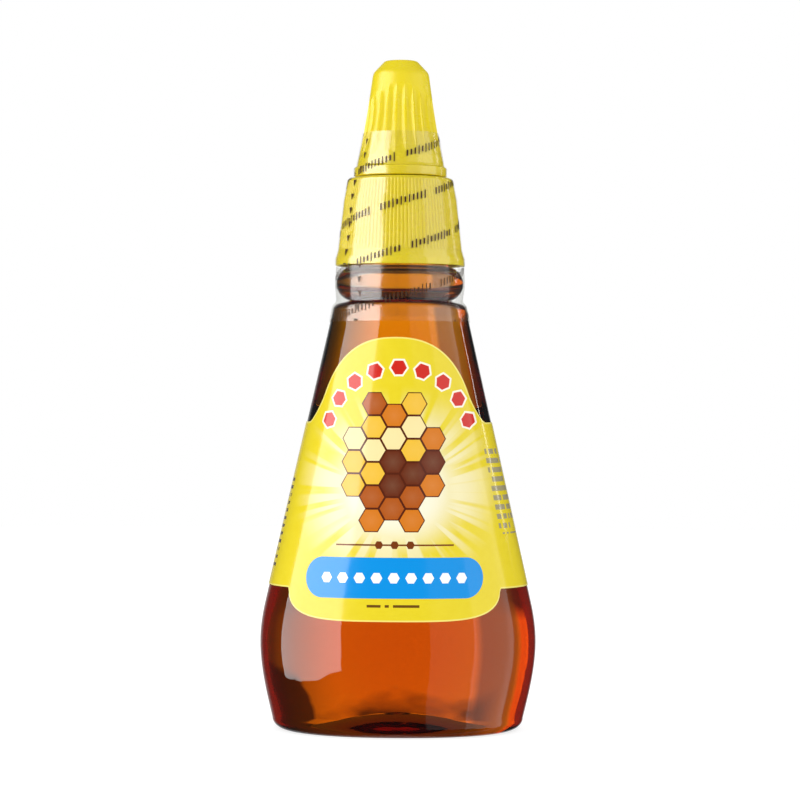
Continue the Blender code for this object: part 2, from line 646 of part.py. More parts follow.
def make_screw_cap(parts, tools):
    """Moulded cap: ribbed collar, deck, and the nozzle with the pin that plugs the spout."""
    collar = collar_outline()
    core_inset = RIB_DEPTH + RIB_BACKING / 2
    shoulder_width = CAP_SHOULDER_WIDTH - core_inset
    pin_foot = PIN_TOP - PIN_TIP_LENGTH
    lip_inner = CAP_LIP_RADIUS - CAP_LIP_THICKNESS
    profile = [
        (0.0, PIN_TOP),
        (PIN_TIP_RADIUS - PIN_TIP_ROUND, PIN_TOP),
        (PIN_TIP_RADIUS, PIN_TOP - PIN_TIP_ROUND),
        (PIN_TIP_RADIUS, pin_foot),
        (PIN_BASE_RADIUS, NOZZLE_TOP),
        (NOZZLE_TIP_RADIUS - LIP_ROUND, NOZZLE_TOP),
        (NOZZLE_TIP_RADIUS, NOZZLE_TOP - LIP_ROUND),
        (NOZZLE_TIP_RADIUS, NOZZLE_STEP_TOP),
        (NOZZLE_RADIUS, NOZZLE_STEP_TOP),
        (NOZZLE_RADIUS, CAP_DECK_TOP),
    ]
    profile += arc(CAP_DECK_RADIUS, CAP_RIB_TOP, shoulder_width, CAP_SHOULDER_DROP, 90, 0, 3)
    profile += [(radius - core_inset, height) for radius, height in collar[1:3]]
    profile += collar[2:]
    profile += [
        (lip_inner, CAP_SKIRT_FOOT),
        (lip_inner - CAP_LIP_THICKNESS, CAP_SKIRT_FOOT + CAP_LIP_BAND),
        (CAP_BORE_RADIUS, CAP_RIB_FOOT + CAP_LIP_BAND),
        (CAP_BORE_RADIUS, CAP_DECK_FOOT),
        (NOZZLE_BORE_RADIUS, CAP_DECK_FOOT),
        (NOZZLE_BORE_RADIUS, NOZZLE_STEP_TOP - NOZZLE_WALL),
        (NOZZLE_TIP_BORE_RADIUS, NOZZLE_STEP_TOP - NOZZLE_WALL),
        (NOZZLE_TIP_BORE_RADIUS, NOZZLE_TOP - NOZZLE_WALL),
        (0.0, NOZZLE_TOP - NOZZLE_WALL),
    ]
    cap = turned("screw_cap", profile, parts, CLOSURE_SIDES, closed=False)
    combine(cap, rib_sleeve("gripping_ribs", collar[:3], tools), "UNION")

    neck_centre = NECK_THREAD_RADIUS - NECK_THREAD_ROUND
    cap_centre = CAP_BORE_RADIUS - NECK_THREAD_HEIGHT + NECK_THREAD_ROUND
    drop = thread_offset(cap_centre, neck_centre, NECK_THREAD_ROUND, THREAD_CLEARANCE)
    inside = helical_ridge("cap_thread", cap_centre, NECK_THREAD_ROUND, NECK_THREAD_LEAD,
                           NECK_THREAD_FOOT - drop, 0.0, CAP_THREAD_TURNS, tools)
    combine(cap, inside, "UNION")
    outside = helical_ridge("nozzle_thread", NOZZLE_THREAD_RADIUS - SPOUT_THREAD_ROUND, SPOUT_THREAD_ROUND,
                            SPOUT_THREAD_LEAD, CAP_DECK_TOP + NOZZLE_THREAD_RISE, 0.0,
                            NOZZLE_THREAD_TURNS, tools)
    combine(cap, outside, "UNION")

    window_circle = (PIN_BASE_RADIUS + NOZZLE_TIP_BORE_RADIUS) / 2
    window_radius = (NOZZLE_TIP_BORE_RADIUS - PIN_BASE_RADIUS) / 2 - WINDOW_EDGE
    for i in range(WINDOW_COUNT):
        angle = math.tau * i / WINDOW_COUNT
        place = (window_circle * math.cos(angle), window_circle * math.sin(angle), NOZZLE_TOP)
        bpy.ops.mesh.primitive_cylinder_add(vertices=12, radius=window_radius,
                                            depth=2 * NOZZLE_WALL + CUT_OVERRUN, location=place)
        window = bpy.context.object
        window.name = f"flow_window_{i + 1}"
        move_to(window, tools)
        combine(cap, window, "DIFFERENCE")
    settle(cap)
    give_material(cap, (0.86, 0.68, 0.03), 0.35)


def move_to(obj, collection):
    for old in list(obj.users_collection):
        old.objects.unlink(obj)
    collection.objects.link(obj)


def spout_radius(height):
    """Outer radius of the spout's cone, which is drawn in a little at mid height."""
    share = (height - SPOUT_CONE_FOOT) / (SPOUT_CONE_TOP - SPOUT_CONE_FOOT)
    return blend(SPOUT_FOOT_RADIUS, SPOUT_TOP_RADIUS, share) - SPOUT_WAIST * 4 * share * (1 - share)


def flute_depth(height, angle):
    """How deep the gripping flute at an angle is scooped at a height. It runs out at both ends."""
    facing = math.sin(angle) ** 2
    foot = SPOUT_FOOT + FLUTE_FOOT_RISE
    top = SPOUT_FOOT + blend(FLUTE_SIDE_TOP_RISE, FLUTE_FRONT_TOP_RISE, facing)
    along = (height - foot) / (top - foot)
    return FLUTE_DEPTH * max(0.0, 4 * along * (1 - along))


def spout_ring(radius, height, fluted=False):
    """Points round the spout. A fluted ring dips between the crests, one flute facing the front."""
    ring = []
    for i in range(FLUTE_COUNT * FLUTE_POINTS):
        flute, step = divmod(i, FLUTE_POINTS)
        angle = math.tau * (flute - 0.5 + step / FLUTE_POINTS) / FLUTE_COUNT
        here = radius
        if fluted and step:
            here -= flute_depth(height, math.tau * flute / FLUTE_COUNT)
        ring.append((here * math.cos(angle), here * math.sin(angle), height))
    return ring


def make_spout(parts, tools):
    """Twist spout: a fluted cone with a hole in its tip, on a flange, with an inside thread."""
    above = [
        (ORIFICE_RADIUS, SPOUT_TOP),
        (SPOUT_TOP_RADIUS - SPOUT_CHAMFER_WIDTH, SPOUT_TOP),
        (SPOUT_TOP_RADIUS - SPOUT_EDGE_INSET, SPOUT_CHAMFER_FOOT),
        (SPOUT_TOP_RADIUS, SPOUT_CONE_TOP),
    ]
    below = [
        (SPOUT_FOOT_RADIUS, SPOUT_CONE_FOOT + SPOUT_FLANGE_ROUND),
        (SPOUT_FLANGE_RADIUS - SPOUT_FLANGE_ROUND, SPOUT_CONE_FOOT),
        (SPOUT_FLANGE_RADIUS, SPOUT_CONE_FOOT - SPOUT_FLANGE_ROUND),
        (SPOUT_FLANGE_RADIUS, SPOUT_FOOT),
        (SPOUT_THREAD_BORE, SPOUT_FOOT),
        (SPOUT_THREAD_BORE, SPOUT_STEP_HEIGHT),
        (SPOUT_BORE_RADIUS, SPOUT_STEP_HEIGHT),
        (SPOUT_BORE_RADIUS, SPOUT_TOP - SPOUT_TIP_THICKNESS - SPOUT_DOME_HEIGHT),
        (SPOUT_BORE_RADIUS - SPOUT_DOME_WIDTH, SPOUT_TOP - SPOUT_TIP_THICKNESS),
        (ORIFICE_RADIUS, SPOUT_TOP - SPOUT_TIP_THICKNESS),
    ]
    rings = [spout_ring(radius, height) for radius, height in above]
    for i in range(FLUTE_ROWS + 1):
        height = SPOUT_FOOT + blend(FLUTE_FRONT_TOP_RISE, FLUTE_FOOT_RISE, i / FLUTE_ROWS)
        rings.append(spout_ring(spout_radius(height), height, fluted=True))
    rings += [spout_ring(radius, height) for radius, height in below]
    spout = ring_body("twist_spout", rings, parts)

    nozzle_centre = NOZZLE_THREAD_RADIUS - SPOUT_THREAD_ROUND
    spout_centre = SPOUT_THREAD_BORE - SPOUT_THREAD_HEIGHT + SPOUT_THREAD_ROUND
    drop = thread_offset(spout_centre, nozzle_centre, SPOUT_THREAD_ROUND, THREAD_CLEARANCE)
    turns = NOZZLE_THREAD_TURNS - SPOUT_THREAD_START_TURN
    inside = helical_ridge("spout_thread", spout_centre, SPOUT_THREAD_ROUND, SPOUT_THREAD_LEAD,
                           CAP_DECK_TOP + NOZZLE_THREAD_RISE - drop, SPOUT_THREAD_START_TURN, turns, tools)
    combine(spout, inside, "UNION")
    settle(spout)
    give_material(spout, (0.88, 0.74, 0.03), 0.35)


def make_seal_ring(parts):
    """Soft washer in the spout, pressed on the nozzle's step when the spout is twisted shut."""
    outer = SPOUT_THREAD_BORE - SEAT_GAP
    inner = NOZZLE_TIP_RADIUS + SEAT_GAP
    top = SEAL_RING_FOOT + SEAL_RING_THICKNESS
    profile = [(outer, top), (outer, SEAL_RING_FOOT), (inner, SEAL_RING_FOOT), (inner, top)]
    ring = turned("spout_seal_ring", profile, parts, CLOSURE_SIDES)
    settle(ring)
    give_material(ring, (0.80, 0.80, 0.78), 0.6)


def film_band(name, outline, parts):
    """A band of clear film of even thickness. The outline is its inner side, from the top down."""
    outer = [(radius + FILM_THICKNESS, height) for radius, height in outline]
    band = turned(name, outer + outline[::-1], parts, CLOSURE_SIDES)
    settle(band)
    give_material(band, (0.95, 0.95, 0.93), 0.1, 0.9)


def make_film(parts):
    """Shrink film over the spout, cap and neck, parted where it tears when the cap is opened."""
    flange = SPOUT_FLANGE_RADIUS + SKIN_GAP
    spout_top = SPOUT_FOOT + FILM_SPOUT_TOP_RISE
    spout_outline = []
    for i in range(3):
        height = blend(spout_top, SPOUT_CONE_FOOT + SPOUT_FLANGE_ROUND, i / 2)
        spout_outline.append((spout_radius(height) + SKIN_GAP, height))
    spout_outline.append((flange, SPOUT_CONE_FOOT - SPOUT_FLANGE_ROUND))
    spout_outline.append((flange, SPOUT_FOOT + SEAT_GAP))
    film_band("film_spout_band", spout_outline, parts)

    cap_outline = arc(CAP_DECK_RADIUS, CAP_RIB_TOP, CAP_SHOULDER_WIDTH + SKIN_GAP,
                      CAP_SHOULDER_DROP + SKIN_GAP, FILM_CAP_SHOULDER_DEG, 0, 2)
    cap_outline += [(radius + SKIN_GAP, height) for radius, height in collar_outline()[1:]]
    film_band("film_cap_band", cap_outline, parts)

    bead_round = BEAD_ROUND + SKIN_GAP
    shoulder_round = SHOULDER_ROUND + SKIN_GAP
    foot = SHOULDER_HEIGHT - FILM_NECK_FOOT_DROP
    neck_outline = [(CAP_LIP_RADIUS - FILM_THICKNESS, CAP_SKIRT_FOOT - FILM_TEAR_GAP)]
    neck_outline += arc(BEAD_CENTRE_RADIUS, BEAD_HEIGHT, bead_round, bead_round,
                        FILM_BEAD_TOP_DEG, FILM_BEAD_FOOT_DEG, 2)
    waist_round = BEAD_ROUND + FILM_WAIST_STAND_OFF
    neck_outline += arc(BEAD_CENTRE_RADIUS, BEAD_HEIGHT, waist_round, waist_round,
                        FILM_WAIST_DEG, FILM_WAIST_DEG, 1)[1:]
    neck_outline += arc(SHOULDER_HALF_WIDTH - SHOULDER_ROUND, SHOULDER_HEIGHT, shoulder_round, shoulder_round,
                        FILM_BODY_SHOULDER_DEG, 0, 2)
    neck_outline.append((body_half_width(foot) + SKIN_GAP, foot))
    film_band("film_neck_band", neck_outline, parts)


empty_scene()
parts_collection = new_collection("honey_squeeze_bottle")
tools_collection = new_collection("cutting_tools")
make_bottle(parts_collection, tools_collection)
make_honey(parts_collection)
make_label(parts_collection, tools_collection)
make_liner(parts_collection)
make_screw_cap(parts_collection, tools_collection)
make_seal_ring(parts_collection)
make_spout(parts_collection, tools_collection)
make_film(parts_collection)
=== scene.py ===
"""Honey squeeze bottle: the finished looks of its bottle, honey, label, closure and shrink film.

Shapes are worked out in millimetres and made in metres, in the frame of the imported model.
"""
import math

import bmesh
import bpy
import numpy as np
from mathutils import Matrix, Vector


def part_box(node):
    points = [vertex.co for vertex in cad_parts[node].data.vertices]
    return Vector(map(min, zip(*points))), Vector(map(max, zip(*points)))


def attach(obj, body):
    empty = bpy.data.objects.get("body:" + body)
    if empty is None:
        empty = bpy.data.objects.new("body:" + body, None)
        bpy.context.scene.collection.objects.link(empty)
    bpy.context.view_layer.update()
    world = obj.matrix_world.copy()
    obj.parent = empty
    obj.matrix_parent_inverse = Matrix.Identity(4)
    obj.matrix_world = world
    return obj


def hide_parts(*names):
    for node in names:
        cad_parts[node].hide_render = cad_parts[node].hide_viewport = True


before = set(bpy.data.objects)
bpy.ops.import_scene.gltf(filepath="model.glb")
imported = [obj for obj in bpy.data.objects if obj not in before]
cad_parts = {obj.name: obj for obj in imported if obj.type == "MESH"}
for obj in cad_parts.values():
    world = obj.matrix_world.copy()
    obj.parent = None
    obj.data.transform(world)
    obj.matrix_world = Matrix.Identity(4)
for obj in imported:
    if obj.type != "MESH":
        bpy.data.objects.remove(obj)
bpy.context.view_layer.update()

# Bottle
# One blow-moulded PET shell, thin in the body and thick at its moulded neck, with a bead under the
# cap and an outside thread. The oval body turns round towards the shoulder, and the base is pushed
# up into a punt.

MM = 0.001
bottle_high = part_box("bottle_body")[1] / MM
BELLY_HALF_WIDTH = bottle_high.x
DEPTH_SHARE = bottle_high.y / bottle_high.x
LIP_HEIGHT = bottle_high.z
BASE_HALF_WIDTH = 30.5
HEEL_HALF_WIDTH = 34.4
HEEL_HEIGHT = 3.2
HEEL_SLOPE = 0.25
BELLY_HEIGHT = 24.0
CONE_FOOT_HALF_WIDTH = 36.4
CONE_FOOT_HEIGHT = 35.0
SHOULDER_HALF_WIDTH = 18.4
SHOULDER_HEIGHT = 114.3
SHOULDER_ROUND = 2.2
CONE_SLOPE = (SHOULDER_HALF_WIDTH - CONE_FOOT_HALF_WIDTH) / (SHOULDER_HEIGHT - CONE_FOOT_HEIGHT)
CORNER_POWER = 2.2
ROUND_POWER = 2.0
PUNT_HALF_WIDTH = 21.5
PUNT_RISE = 6.2
GATE_RADIUS = 1.6
GATE_DROP = 0.5
BODY_WALL = 0.8
BEAD_RADIUS = 17.45
BEAD_ROUND = 4.7
BEAD_ARC_DEG = 80
GROOVE_WIDTH = 0.7
BEAD_HEIGHT = SHOULDER_HEIGHT + SHOULDER_ROUND + GROOVE_WIDTH + BEAD_ROUND
BEAD_TOP = BEAD_HEIGHT + BEAD_ROUND
NECK_RADIUS = 11.9
NECK_BORE = 10.3
NECK_FOOT = BEAD_TOP + 3.0
LIP_ROUND = 0.5
THREAD_LEAD = 4.2
THREAD_HALF_WIDTH = 0.9
THREAD_DEPTH = 1.1
THREAD_TURNS = 1.5
THREAD_TOP = LIP_HEIGHT - 3.6
THREAD_FOOT = THREAD_TOP - THREAD_TURNS * THREAD_LEAD
THREAD_ROW = 0.3
THREAD_RUNOUT_TURN = 0.08
BODY_COLUMNS = 144
SAME_PLACE = 0.0001
SHARP_FROM_DEG = 45


def blend(low, high, share):
    return low + (high - low) * share


def arc(centre_radius, centre_height, radius, rise, start_deg, end_deg, steps):
    """Points (radius, height) on an arc that is radius wide and rise high."""
    angles = np.radians(np.linspace(start_deg, end_deg, steps + 1))
    return [(centre_radius + radius * math.cos(a), centre_height + rise * math.sin(a)) for a in angles]


def eased(start, start_slope, end, end_slope, steps):
    """Points (radius, height) on a smooth curve between two points, from its slopes at both."""
    span = end[1] - start[1]
    points = []
    for t in np.linspace(0, 1, steps + 1):
        keep = 2 * t ** 3 - 3 * t ** 2 + 1
        radius = keep * start[0] + (1 - keep) * end[0]
        radius += span * ((t ** 3 - 2 * t ** 2 + t) * start_slope + (t ** 3 - t ** 2) * end_slope)
        points.append((radius, blend(start[1], end[1], t)))
    return points


def straight(start, end, steps):
    """Points after the start of a straight line, up to its end."""
    shares = np.linspace(0, 1, steps + 1)[1:]
    return [(blend(start[0], end[0], t), blend(start[1], end[1], t)) for t in shares]


def offset(profile, distance):
    """Move an open profile of (radius, height) points to its left-hand side."""
    points = np.array(profile, float)
    along = np.gradient(points, axis=0)
    along /= np.linalg.norm(along, axis=1)[:, None]
    moved = points + distance * np.column_stack((-along[:, 1], along[:, 0]))
    moved[points[:, 0] == 0, 0] = 0
    return [tuple(point) for point in moved]


def oval_ring(half_width, height, angles, stand_off=0.0):
    """Points of the body's section. Angle 0 is the front, -Y, and a quarter turn is at +X.

    It is round at the shoulder and turns fully oval down to the foot of the cone.
    """
    oval = np.clip((SHOULDER_HEIGHT - height) / (SHOULDER_HEIGHT - CONE_FOOT_HEIGHT), 0, 1)
    power = blend(ROUND_POWER, CORNER_POWER, oval)
    half_depth = (half_width - stand_off) * blend(1.0, DEPTH_SHARE, oval) + stand_off
    across = np.sign(np.sin(angles)) * np.abs(np.sin(angles)) ** (2 / power)
    along = np.sign(np.cos(angles)) * np.abs(np.cos(angles)) ** (2 / power)
    return np.column_stack((half_width * across, -half_depth * along, np.full(len(angles), height)))


def around(columns):
    return np.linspace(0, math.tau, columns, endpoint=False)


def thread(heights, angles, foot, lead, turns, half_width, depth, start=0.0):
    """How far a right-hand thread stands out at each height and angle. It runs out at both ends."""
    turn = ((angles - math.pi / 2) / math.tau) % 1.0
    crest = np.zeros((len(heights), len(angles)))
    for lap in range(math.ceil(start + turns)):
        at = turn + lap
        fade = np.clip(np.minimum(at - start, start + turns - at) / THREAD_RUNOUT_TURN, 0, 1)
        across = (heights[:, None] - (foot + lead * at)[None, :]) / half_width
        crest = np.maximum(crest, np.sqrt(np.clip(1 - across ** 2, 0, 1)) * fade[None, :])
    return depth * crest


def grid(name, rings, closed_loop=False, ends=False, inner_from=None):
    """A mesh through rings of points in mm. It can close on itself, or have filled ends."""
    points = np.asarray(rings, float) * MM
    rows, columns = points.shape[:2]
    index = np.arange(rows * columns).reshape(rows, columns)
    below = index if closed_loop else index[:-1]
    above = np.roll(index, -1, axis=0) if closed_loop else index[1:]
    quads = np.stack((below, np.roll(below, -1, axis=1), np.roll(above, -1, axis=1), above), axis=-1)
    faces = quads.reshape(-1, 4).tolist()
    if ends:
        faces += [index[0].tolist(), index[-1].tolist()]
    mesh = bpy.data.meshes.new(name)
    mesh.from_pydata(points.reshape(-1, 3).tolist(), [], faces)
    if inner_from is not None:
        marks = [int(i // columns >= inner_from) for i in range(len(mesh.polygons))]
        mesh.materials.append(None)
        mesh.materials.append(None)
        mesh.polygons.foreach_set("material_index", marks)
    work = bmesh.new()
    work.from_mesh(mesh)
    bmesh.ops.remove_doubles(work, verts=work.verts, dist=SAME_PLACE * MM)
    bmesh.ops.recalc_face_normals(work, faces=work.faces)
    work.to_mesh(mesh)
    work.free()
    mesh.shade_smooth()
    mesh.set_sharp_from_angle(angle=math.radians(SHARP_FROM_DEG))
    piece = bpy.data.objects.new(name, mesh)
    bpy.context.scene.collection.objects.link(piece)
    return piece


def linear(hex_code):
    """An sRGB hex colour as linear red, green, blue and alpha."""
    channels = [int(hex_code[i:i + 2], 16) / 255 for i in (1, 3, 5)]
    return (*[c / 12.92 if c <= 0.04045 else ((c + 0.055) / 1.055) ** 2.4 for c in channels], 1.0)


def add(tree, kind, inputs=(), operation=None, **settings):
    """Add a shader node. Its inputs take values, sRGB hex colours, nodes or output sockets."""
    node = tree.nodes.new("ShaderNode" + kind)
    if operation:
        node.operation = operation
    for name, value in settings.items():
        setattr(node, name, value)
    pairs = inputs.items() if isinstance(inputs, dict) else enumerate(inputs)
    for key, value in pairs:
        if isinstance(value, bpy.types.Node):
            value = next(output for output in value.outputs if output.enabled)
        if isinstance(value, str):
            value = linear(value)
        if isinstance(value, bpy.types.NodeSocket):
            tree.links.new(value, node.inputs[key])
        else:
            node.inputs[key].default_value = value
    return node


def new_material(name):
    """An empty material and its node tree."""
    material = bpy.data.materials.new(name)
    material.use_nodes = True
    material.node_tree.nodes.clear()
    return material, material.node_tree


def uneven(tree, place, spacing, detail, strength, depth):
    """Noise of a real spacing and the bump of a real depth that it makes, both sizes in mm."""
    noise = add(tree, "TexNoise", {"Vector": place, "Scale": 1 / (spacing * MM), "Detail": detail})
    bump = add(tree, "Bump", {"Height": noise, "Strength": strength, "Distance": depth * MM})
    return noise, bump


def put_on(piece, *materials):
    """Give a piece its materials in the order of its slots."""
    slots = piece.data.materials
    while len(slots) < len(materials):
        slots.append(None)
    for i, material in enumerate(materials):
        slots[i] = material


# The outer side runs from the middle of the punt up to the top of the bead.
belly = (BELLY_HALF_WIDTH, BELLY_HEIGHT)
cone_foot = (CONE_FOOT_HALF_WIDTH, CONE_FOOT_HEIGHT)
body_outer = [(0.0, PUNT_RISE - GATE_DROP), (GATE_RADIUS * 0.8, PUNT_RISE - GATE_DROP)]
for across in np.linspace(GATE_RADIUS * 1.2 / PUNT_HALF_WIDTH, 1, 14):
    body_outer.append((PUNT_HALF_WIDTH * across, PUNT_RISE * (1 - across ** 2)))
body_outer += arc(BASE_HALF_WIDTH, HEEL_HEIGHT, HEEL_HALF_WIDTH - BASE_HALF_WIDTH, HEEL_HEIGHT, -90, 0, 10)
body_outer += eased(body_outer[-1], HEEL_SLOPE, belly, 0.0, 12)[1:]
body_outer += eased(belly, 0.0, cone_foot, CONE_SLOPE, 8)[1:]
body_outer += straight(cone_foot, (SHOULDER_HALF_WIDTH, SHOULDER_HEIGHT), 16)
body_outer += arc(SHOULDER_HALF_WIDTH - SHOULDER_ROUND, SHOULDER_HEIGHT, SHOULDER_ROUND, SHOULDER_ROUND,
                  0, 90, 10)[1:]
body_outer += arc(BEAD_RADIUS - BEAD_ROUND, BEAD_HEIGHT, BEAD_ROUND, BEAD_ROUND, -BEAD_ARC_DEG,
                  BEAD_ARC_DEG, 28)
neck_heights = np.arange(THREAD_FOOT - 1.5, THREAD_TOP + 1.5, THREAD_ROW)
neck_outline = [(NECK_RADIUS, height) for height in (NECK_FOOT, *neck_heights)]
neck_outline += arc(NECK_RADIUS - LIP_ROUND, LIP_HEIGHT - LIP_ROUND, LIP_ROUND, LIP_ROUND, 0, 90, 4)
lip_inner = arc(NECK_BORE + LIP_ROUND, LIP_HEIGHT - LIP_ROUND, LIP_ROUND, LIP_ROUND, 90, 180, 4)
body_inner = offset(body_outer, BODY_WALL)
outer_profile = body_outer + neck_outline + lip_inner + [(NECK_BORE, NECK_FOOT)]
bottle_profile = outer_profile + body_inner[::-1]
body_angles = around(BODY_COLUMNS)
bottle_rings = np.array([oval_ring(*point, body_angles) for point in bottle_profile])
neck_rows = slice(len(body_outer), len(body_outer) + len(neck_outline))
neck_ridge = thread(bottle_rings[neck_rows, 0, 2], body_angles, THREAD_FOOT, THREAD_LEAD, THREAD_TURNS,
                    THREAD_HALF_WIDTH, THREAD_DEPTH)
bottle_rings[neck_rows, :, 0] += neck_ridge * np.sin(body_angles)
bottle_rings[neck_rows, :, 1] -= neck_ridge * np.cos(body_angles)
bottle = grid("clear_bottle", bottle_rings, inner_from=len(outer_profile) - 1)

# Blown PET is glass clear and glossy. Its walls are a little wavy, most of all at the heel, which
# breaks up the edges of what they mirror. Fine smears dull the gloss here and there, and the mould's
# parting line runs up both sides.
PET_IOR = 1.57
WAVE_SPACING = 9.0
WAVE_DEPTH = 0.25
HEEL_WAVES_TO = 12.0
WALL_WAVES_FROM = 32.0
SEAM_HALF_WIDTH = 0.25
SEAM_HEIGHT = 0.06
SMEAR_SIZE = 3.0
pet, tree = new_material("blow_moulded_pet")
place = add(tree, "NewGeometry")
_, depth_at, height_at = add(tree, "SeparateXYZ", [place]).outputs
off_seam = add(tree, "Math", [depth_at], "ABSOLUTE")
seam = add(tree, "MapRange", [off_seam, 0.0, SEAM_HALF_WIDTH * MM, 1.0, 0.0])
swell = add(tree, "MapRange", [height_at, HEEL_WAVES_TO * MM, WALL_WAVES_FROM * MM, 0.55, 0.12])
_, wavy = uneven(tree, place, WAVE_SPACING, 1.5, swell, WAVE_DEPTH)
wavy = add(tree, "Bump", {
    "Height": seam, "Strength": 0.5, "Distance": SEAM_HEIGHT * MM, "Normal": wavy,
})
smears = add(tree, "TexNoise", {"Vector": place, "Scale": 1 / (SMEAR_SIZE * MM), "Detail": 3.0})
clean = add(tree, "MapRange", [smears, 0.35, 0.75, 0.015, 0.05])
pet_shader = add(tree, "BsdfPrincipled", {
    "Base Color": "#FFFFFF", "Roughness": clean, "IOR": PET_IOR, "Transmission Weight": 1.0,
    "Normal": wavy,
})
add(tree, "OutputMaterial", [pet_shader])

# Where the wall is wetted by the honey it mirrors next to nothing, so that side only bends the light.
wetted, tree = new_material("pet_wetted_by_honey")
bend = add(tree, "BsdfRefraction", {"Roughness": 0.0, "IOR": PET_IOR})
add(tree, "OutputMaterial", [bend])
put_on(bottle, pet, wetted)
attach(bottle, "bottle")
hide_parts("bottle_body")

# Honey
# Dark amber honey that fills the bottle up into its neck and wets the wall all over, so that light
# passes from one to the other without a gap between them.

HONEY_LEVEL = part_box("honey_fill")[1].z / MM
HONEY_INTO_WALL = 0.02
MENISCUS_WIDTH = 0.8
MENISCUS_DROP = 0.28
HONEY_SAG = 0.4
honey_bore = NECK_BORE + HONEY_INTO_WALL
honey_profile = offset(body_outer, BODY_WALL - HONEY_INTO_WALL)
honey_profile += [
    (honey_bore, NECK_FOOT), (honey_bore, HONEY_LEVEL),
    (honey_bore - MENISCUS_WIDTH, HONEY_LEVEL - MENISCUS_DROP),
    (honey_bore / 2, HONEY_LEVEL - HONEY_SAG), (0.0, HONEY_LEVEL - HONEY_SAG),
]
honey = grid("amber_honey", [oval_ring(*point, body_angles) for point in honey_profile])

# Strained honey is clear. Its colour is in its depth: yellow where thin, and red to dark brown
# where it is deep, from the share of each colour that a metre of it lets through.
HONEY_IOR = 1.50
HONEY_DENSITY = 200.0
HONEY_TINT = (0.9535, 0.778, 0.0, 1.0)
SWIRL_SPACING = 14.0
SWIRL_DEPTH = 0.3
amber, tree = new_material("strained_amber_honey")
place = add(tree, "NewGeometry")
_, swirled = uneven(tree, place, SWIRL_SPACING, 2.0, 0.08, SWIRL_DEPTH)
honey_shader = add(tree, "BsdfRefraction", {"Roughness": 0.0, "IOR": HONEY_IOR, "Normal": swirled})
depth = add(tree, "VolumeAbsorption", [HONEY_TINT, HONEY_DENSITY])
add(tree, "OutputMaterial", [honey_shader, depth])
put_on(honey, amber)
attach(honey, "bottle")
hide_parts("honey_fill")

# Label
# One sheet of white plastic film, printed and varnished, wrapped round the body with its two ends
# meeting at the back. It rises in a round arch at the front and has a round tab at its foot.

LABEL_GAP = 0.12
LABEL_THICKNESS = 0.12
LABEL_SIDE_TOP = 84.0
LABEL_SIDE_FOOT = 39.6
LABEL_ARCH_RISE = 22.9
LABEL_ARCH_DEG = 56.5
LABEL_ARCH_POWER = 2.3
LABEL_FLARE_START_DEG = 55
LABEL_FLARE_END_DEG = 70
LABEL_TAB_DROP = 8.3
LABEL_TAB_DEG = 51
LABEL_SEAM_GAP = 0.8
LABEL_TURN = math.radians(-2.9)
PRINT_OFF_CENTRE = 1.05
LABEL_COLUMNS = 360
LABEL_ROWS = 44


def dome(reach, flatness, roundness):
    """A rounded hump: 1 at the middle and 0 where the reach is 1."""
    return (1 - np.minimum(reach, 1.0) ** flatness) ** (1 / roundness)


seam_angle = math.pi - LABEL_SEAM_GAP / (2 * CONE_FOOT_HALF_WIDTH * DEPTH_SHARE)
label_angles = np.linspace(-seam_angle, seam_angle, LABEL_COLUMNS + 1)
off_middle = np.abs(np.degrees(label_angles))
arch_reach = np.minimum(off_middle, LABEL_FLARE_START_DEG) / LABEL_ARCH_DEG
arch = dome(arch_reach, LABEL_ARCH_POWER, LABEL_ARCH_POWER)
flare = np.interp(off_middle, (LABEL_FLARE_START_DEG, LABEL_FLARE_END_DEG), (1.0, 0.0))
tab = dome(off_middle / LABEL_TAB_DEG, 4.0, 1.8)
label_tops = LABEL_SIDE_TOP + LABEL_ARCH_RISE * arch * flare ** 2
label_feet = LABEL_SIDE_FOOT - LABEL_TAB_DROP * tab

# The sheet is laid on the wall: up its outer side and down its inner side at each angle.
wall = np.array([point for point in body_outer if BELLY_HEIGHT <= point[1] <= SHOULDER_HEIGHT]).T
label_heights = np.linspace(label_feet, label_tops, LABEL_ROWS, axis=1)
label_heights = np.hstack((label_heights, label_heights[:, ::-1]))
label_gaps = np.repeat((LABEL_GAP + LABEL_THICKNESS, LABEL_GAP), LABEL_ROWS)
label_rings = np.array([
    [oval_ring(width + gap, height, angle, gap)[0] for width, height, gap in zip(
        np.interp(column, wall[1], wall[0]), column, label_gaps)]
    for angle, column in zip(label_angles[:, None] + LABEL_TURN, label_heights)
])
label = grid("printed_label", label_rings, ends=True)


def keep_for_material(piece, name, values):
    """Store a number or a triple for every point of a piece, for its material to read."""
    kind, field = ("FLOAT", "value") if values.ndim == 1 else ("FLOAT_VECTOR", "vector")
    stored = piece.data.attributes.new(name, kind, "POINT")
    stored.data.foreach_set(field, values.astype(np.float32).ravel())


# Each point of the sheet keeps its place in the print: mm along the sheet from the middle of the
# front, mm up the bottle, and mm to the nearest edge of the sheet.
steps = np.linalg.norm(np.diff(label_rings[:, :, :2], axis=0), axis=2)
along = np.concatenate((np.zeros((1, steps.shape[1])), np.cumsum(steps, axis=0)))
along -= along[LABEL_COLUMNS // 2] + PRINT_OFF_CENTRE
sheet = np.stack((along, label_heights), axis=-1)
edge_line = np.concatenate((sheet[:, 0], sheet[:, LABEL_ROWS - 1]))
sheet = sheet.reshape(-1, 2)
to_edge = np.array([np.hypot(*(edge_line - point).T).min() for point in sheet])
keep_for_material(label, "print_mm", np.column_stack((sheet, to_edge)))
keep_for_material(label, "turn_deg", np.repeat(np.degrees(label_angles), label_heights.shape[1]))

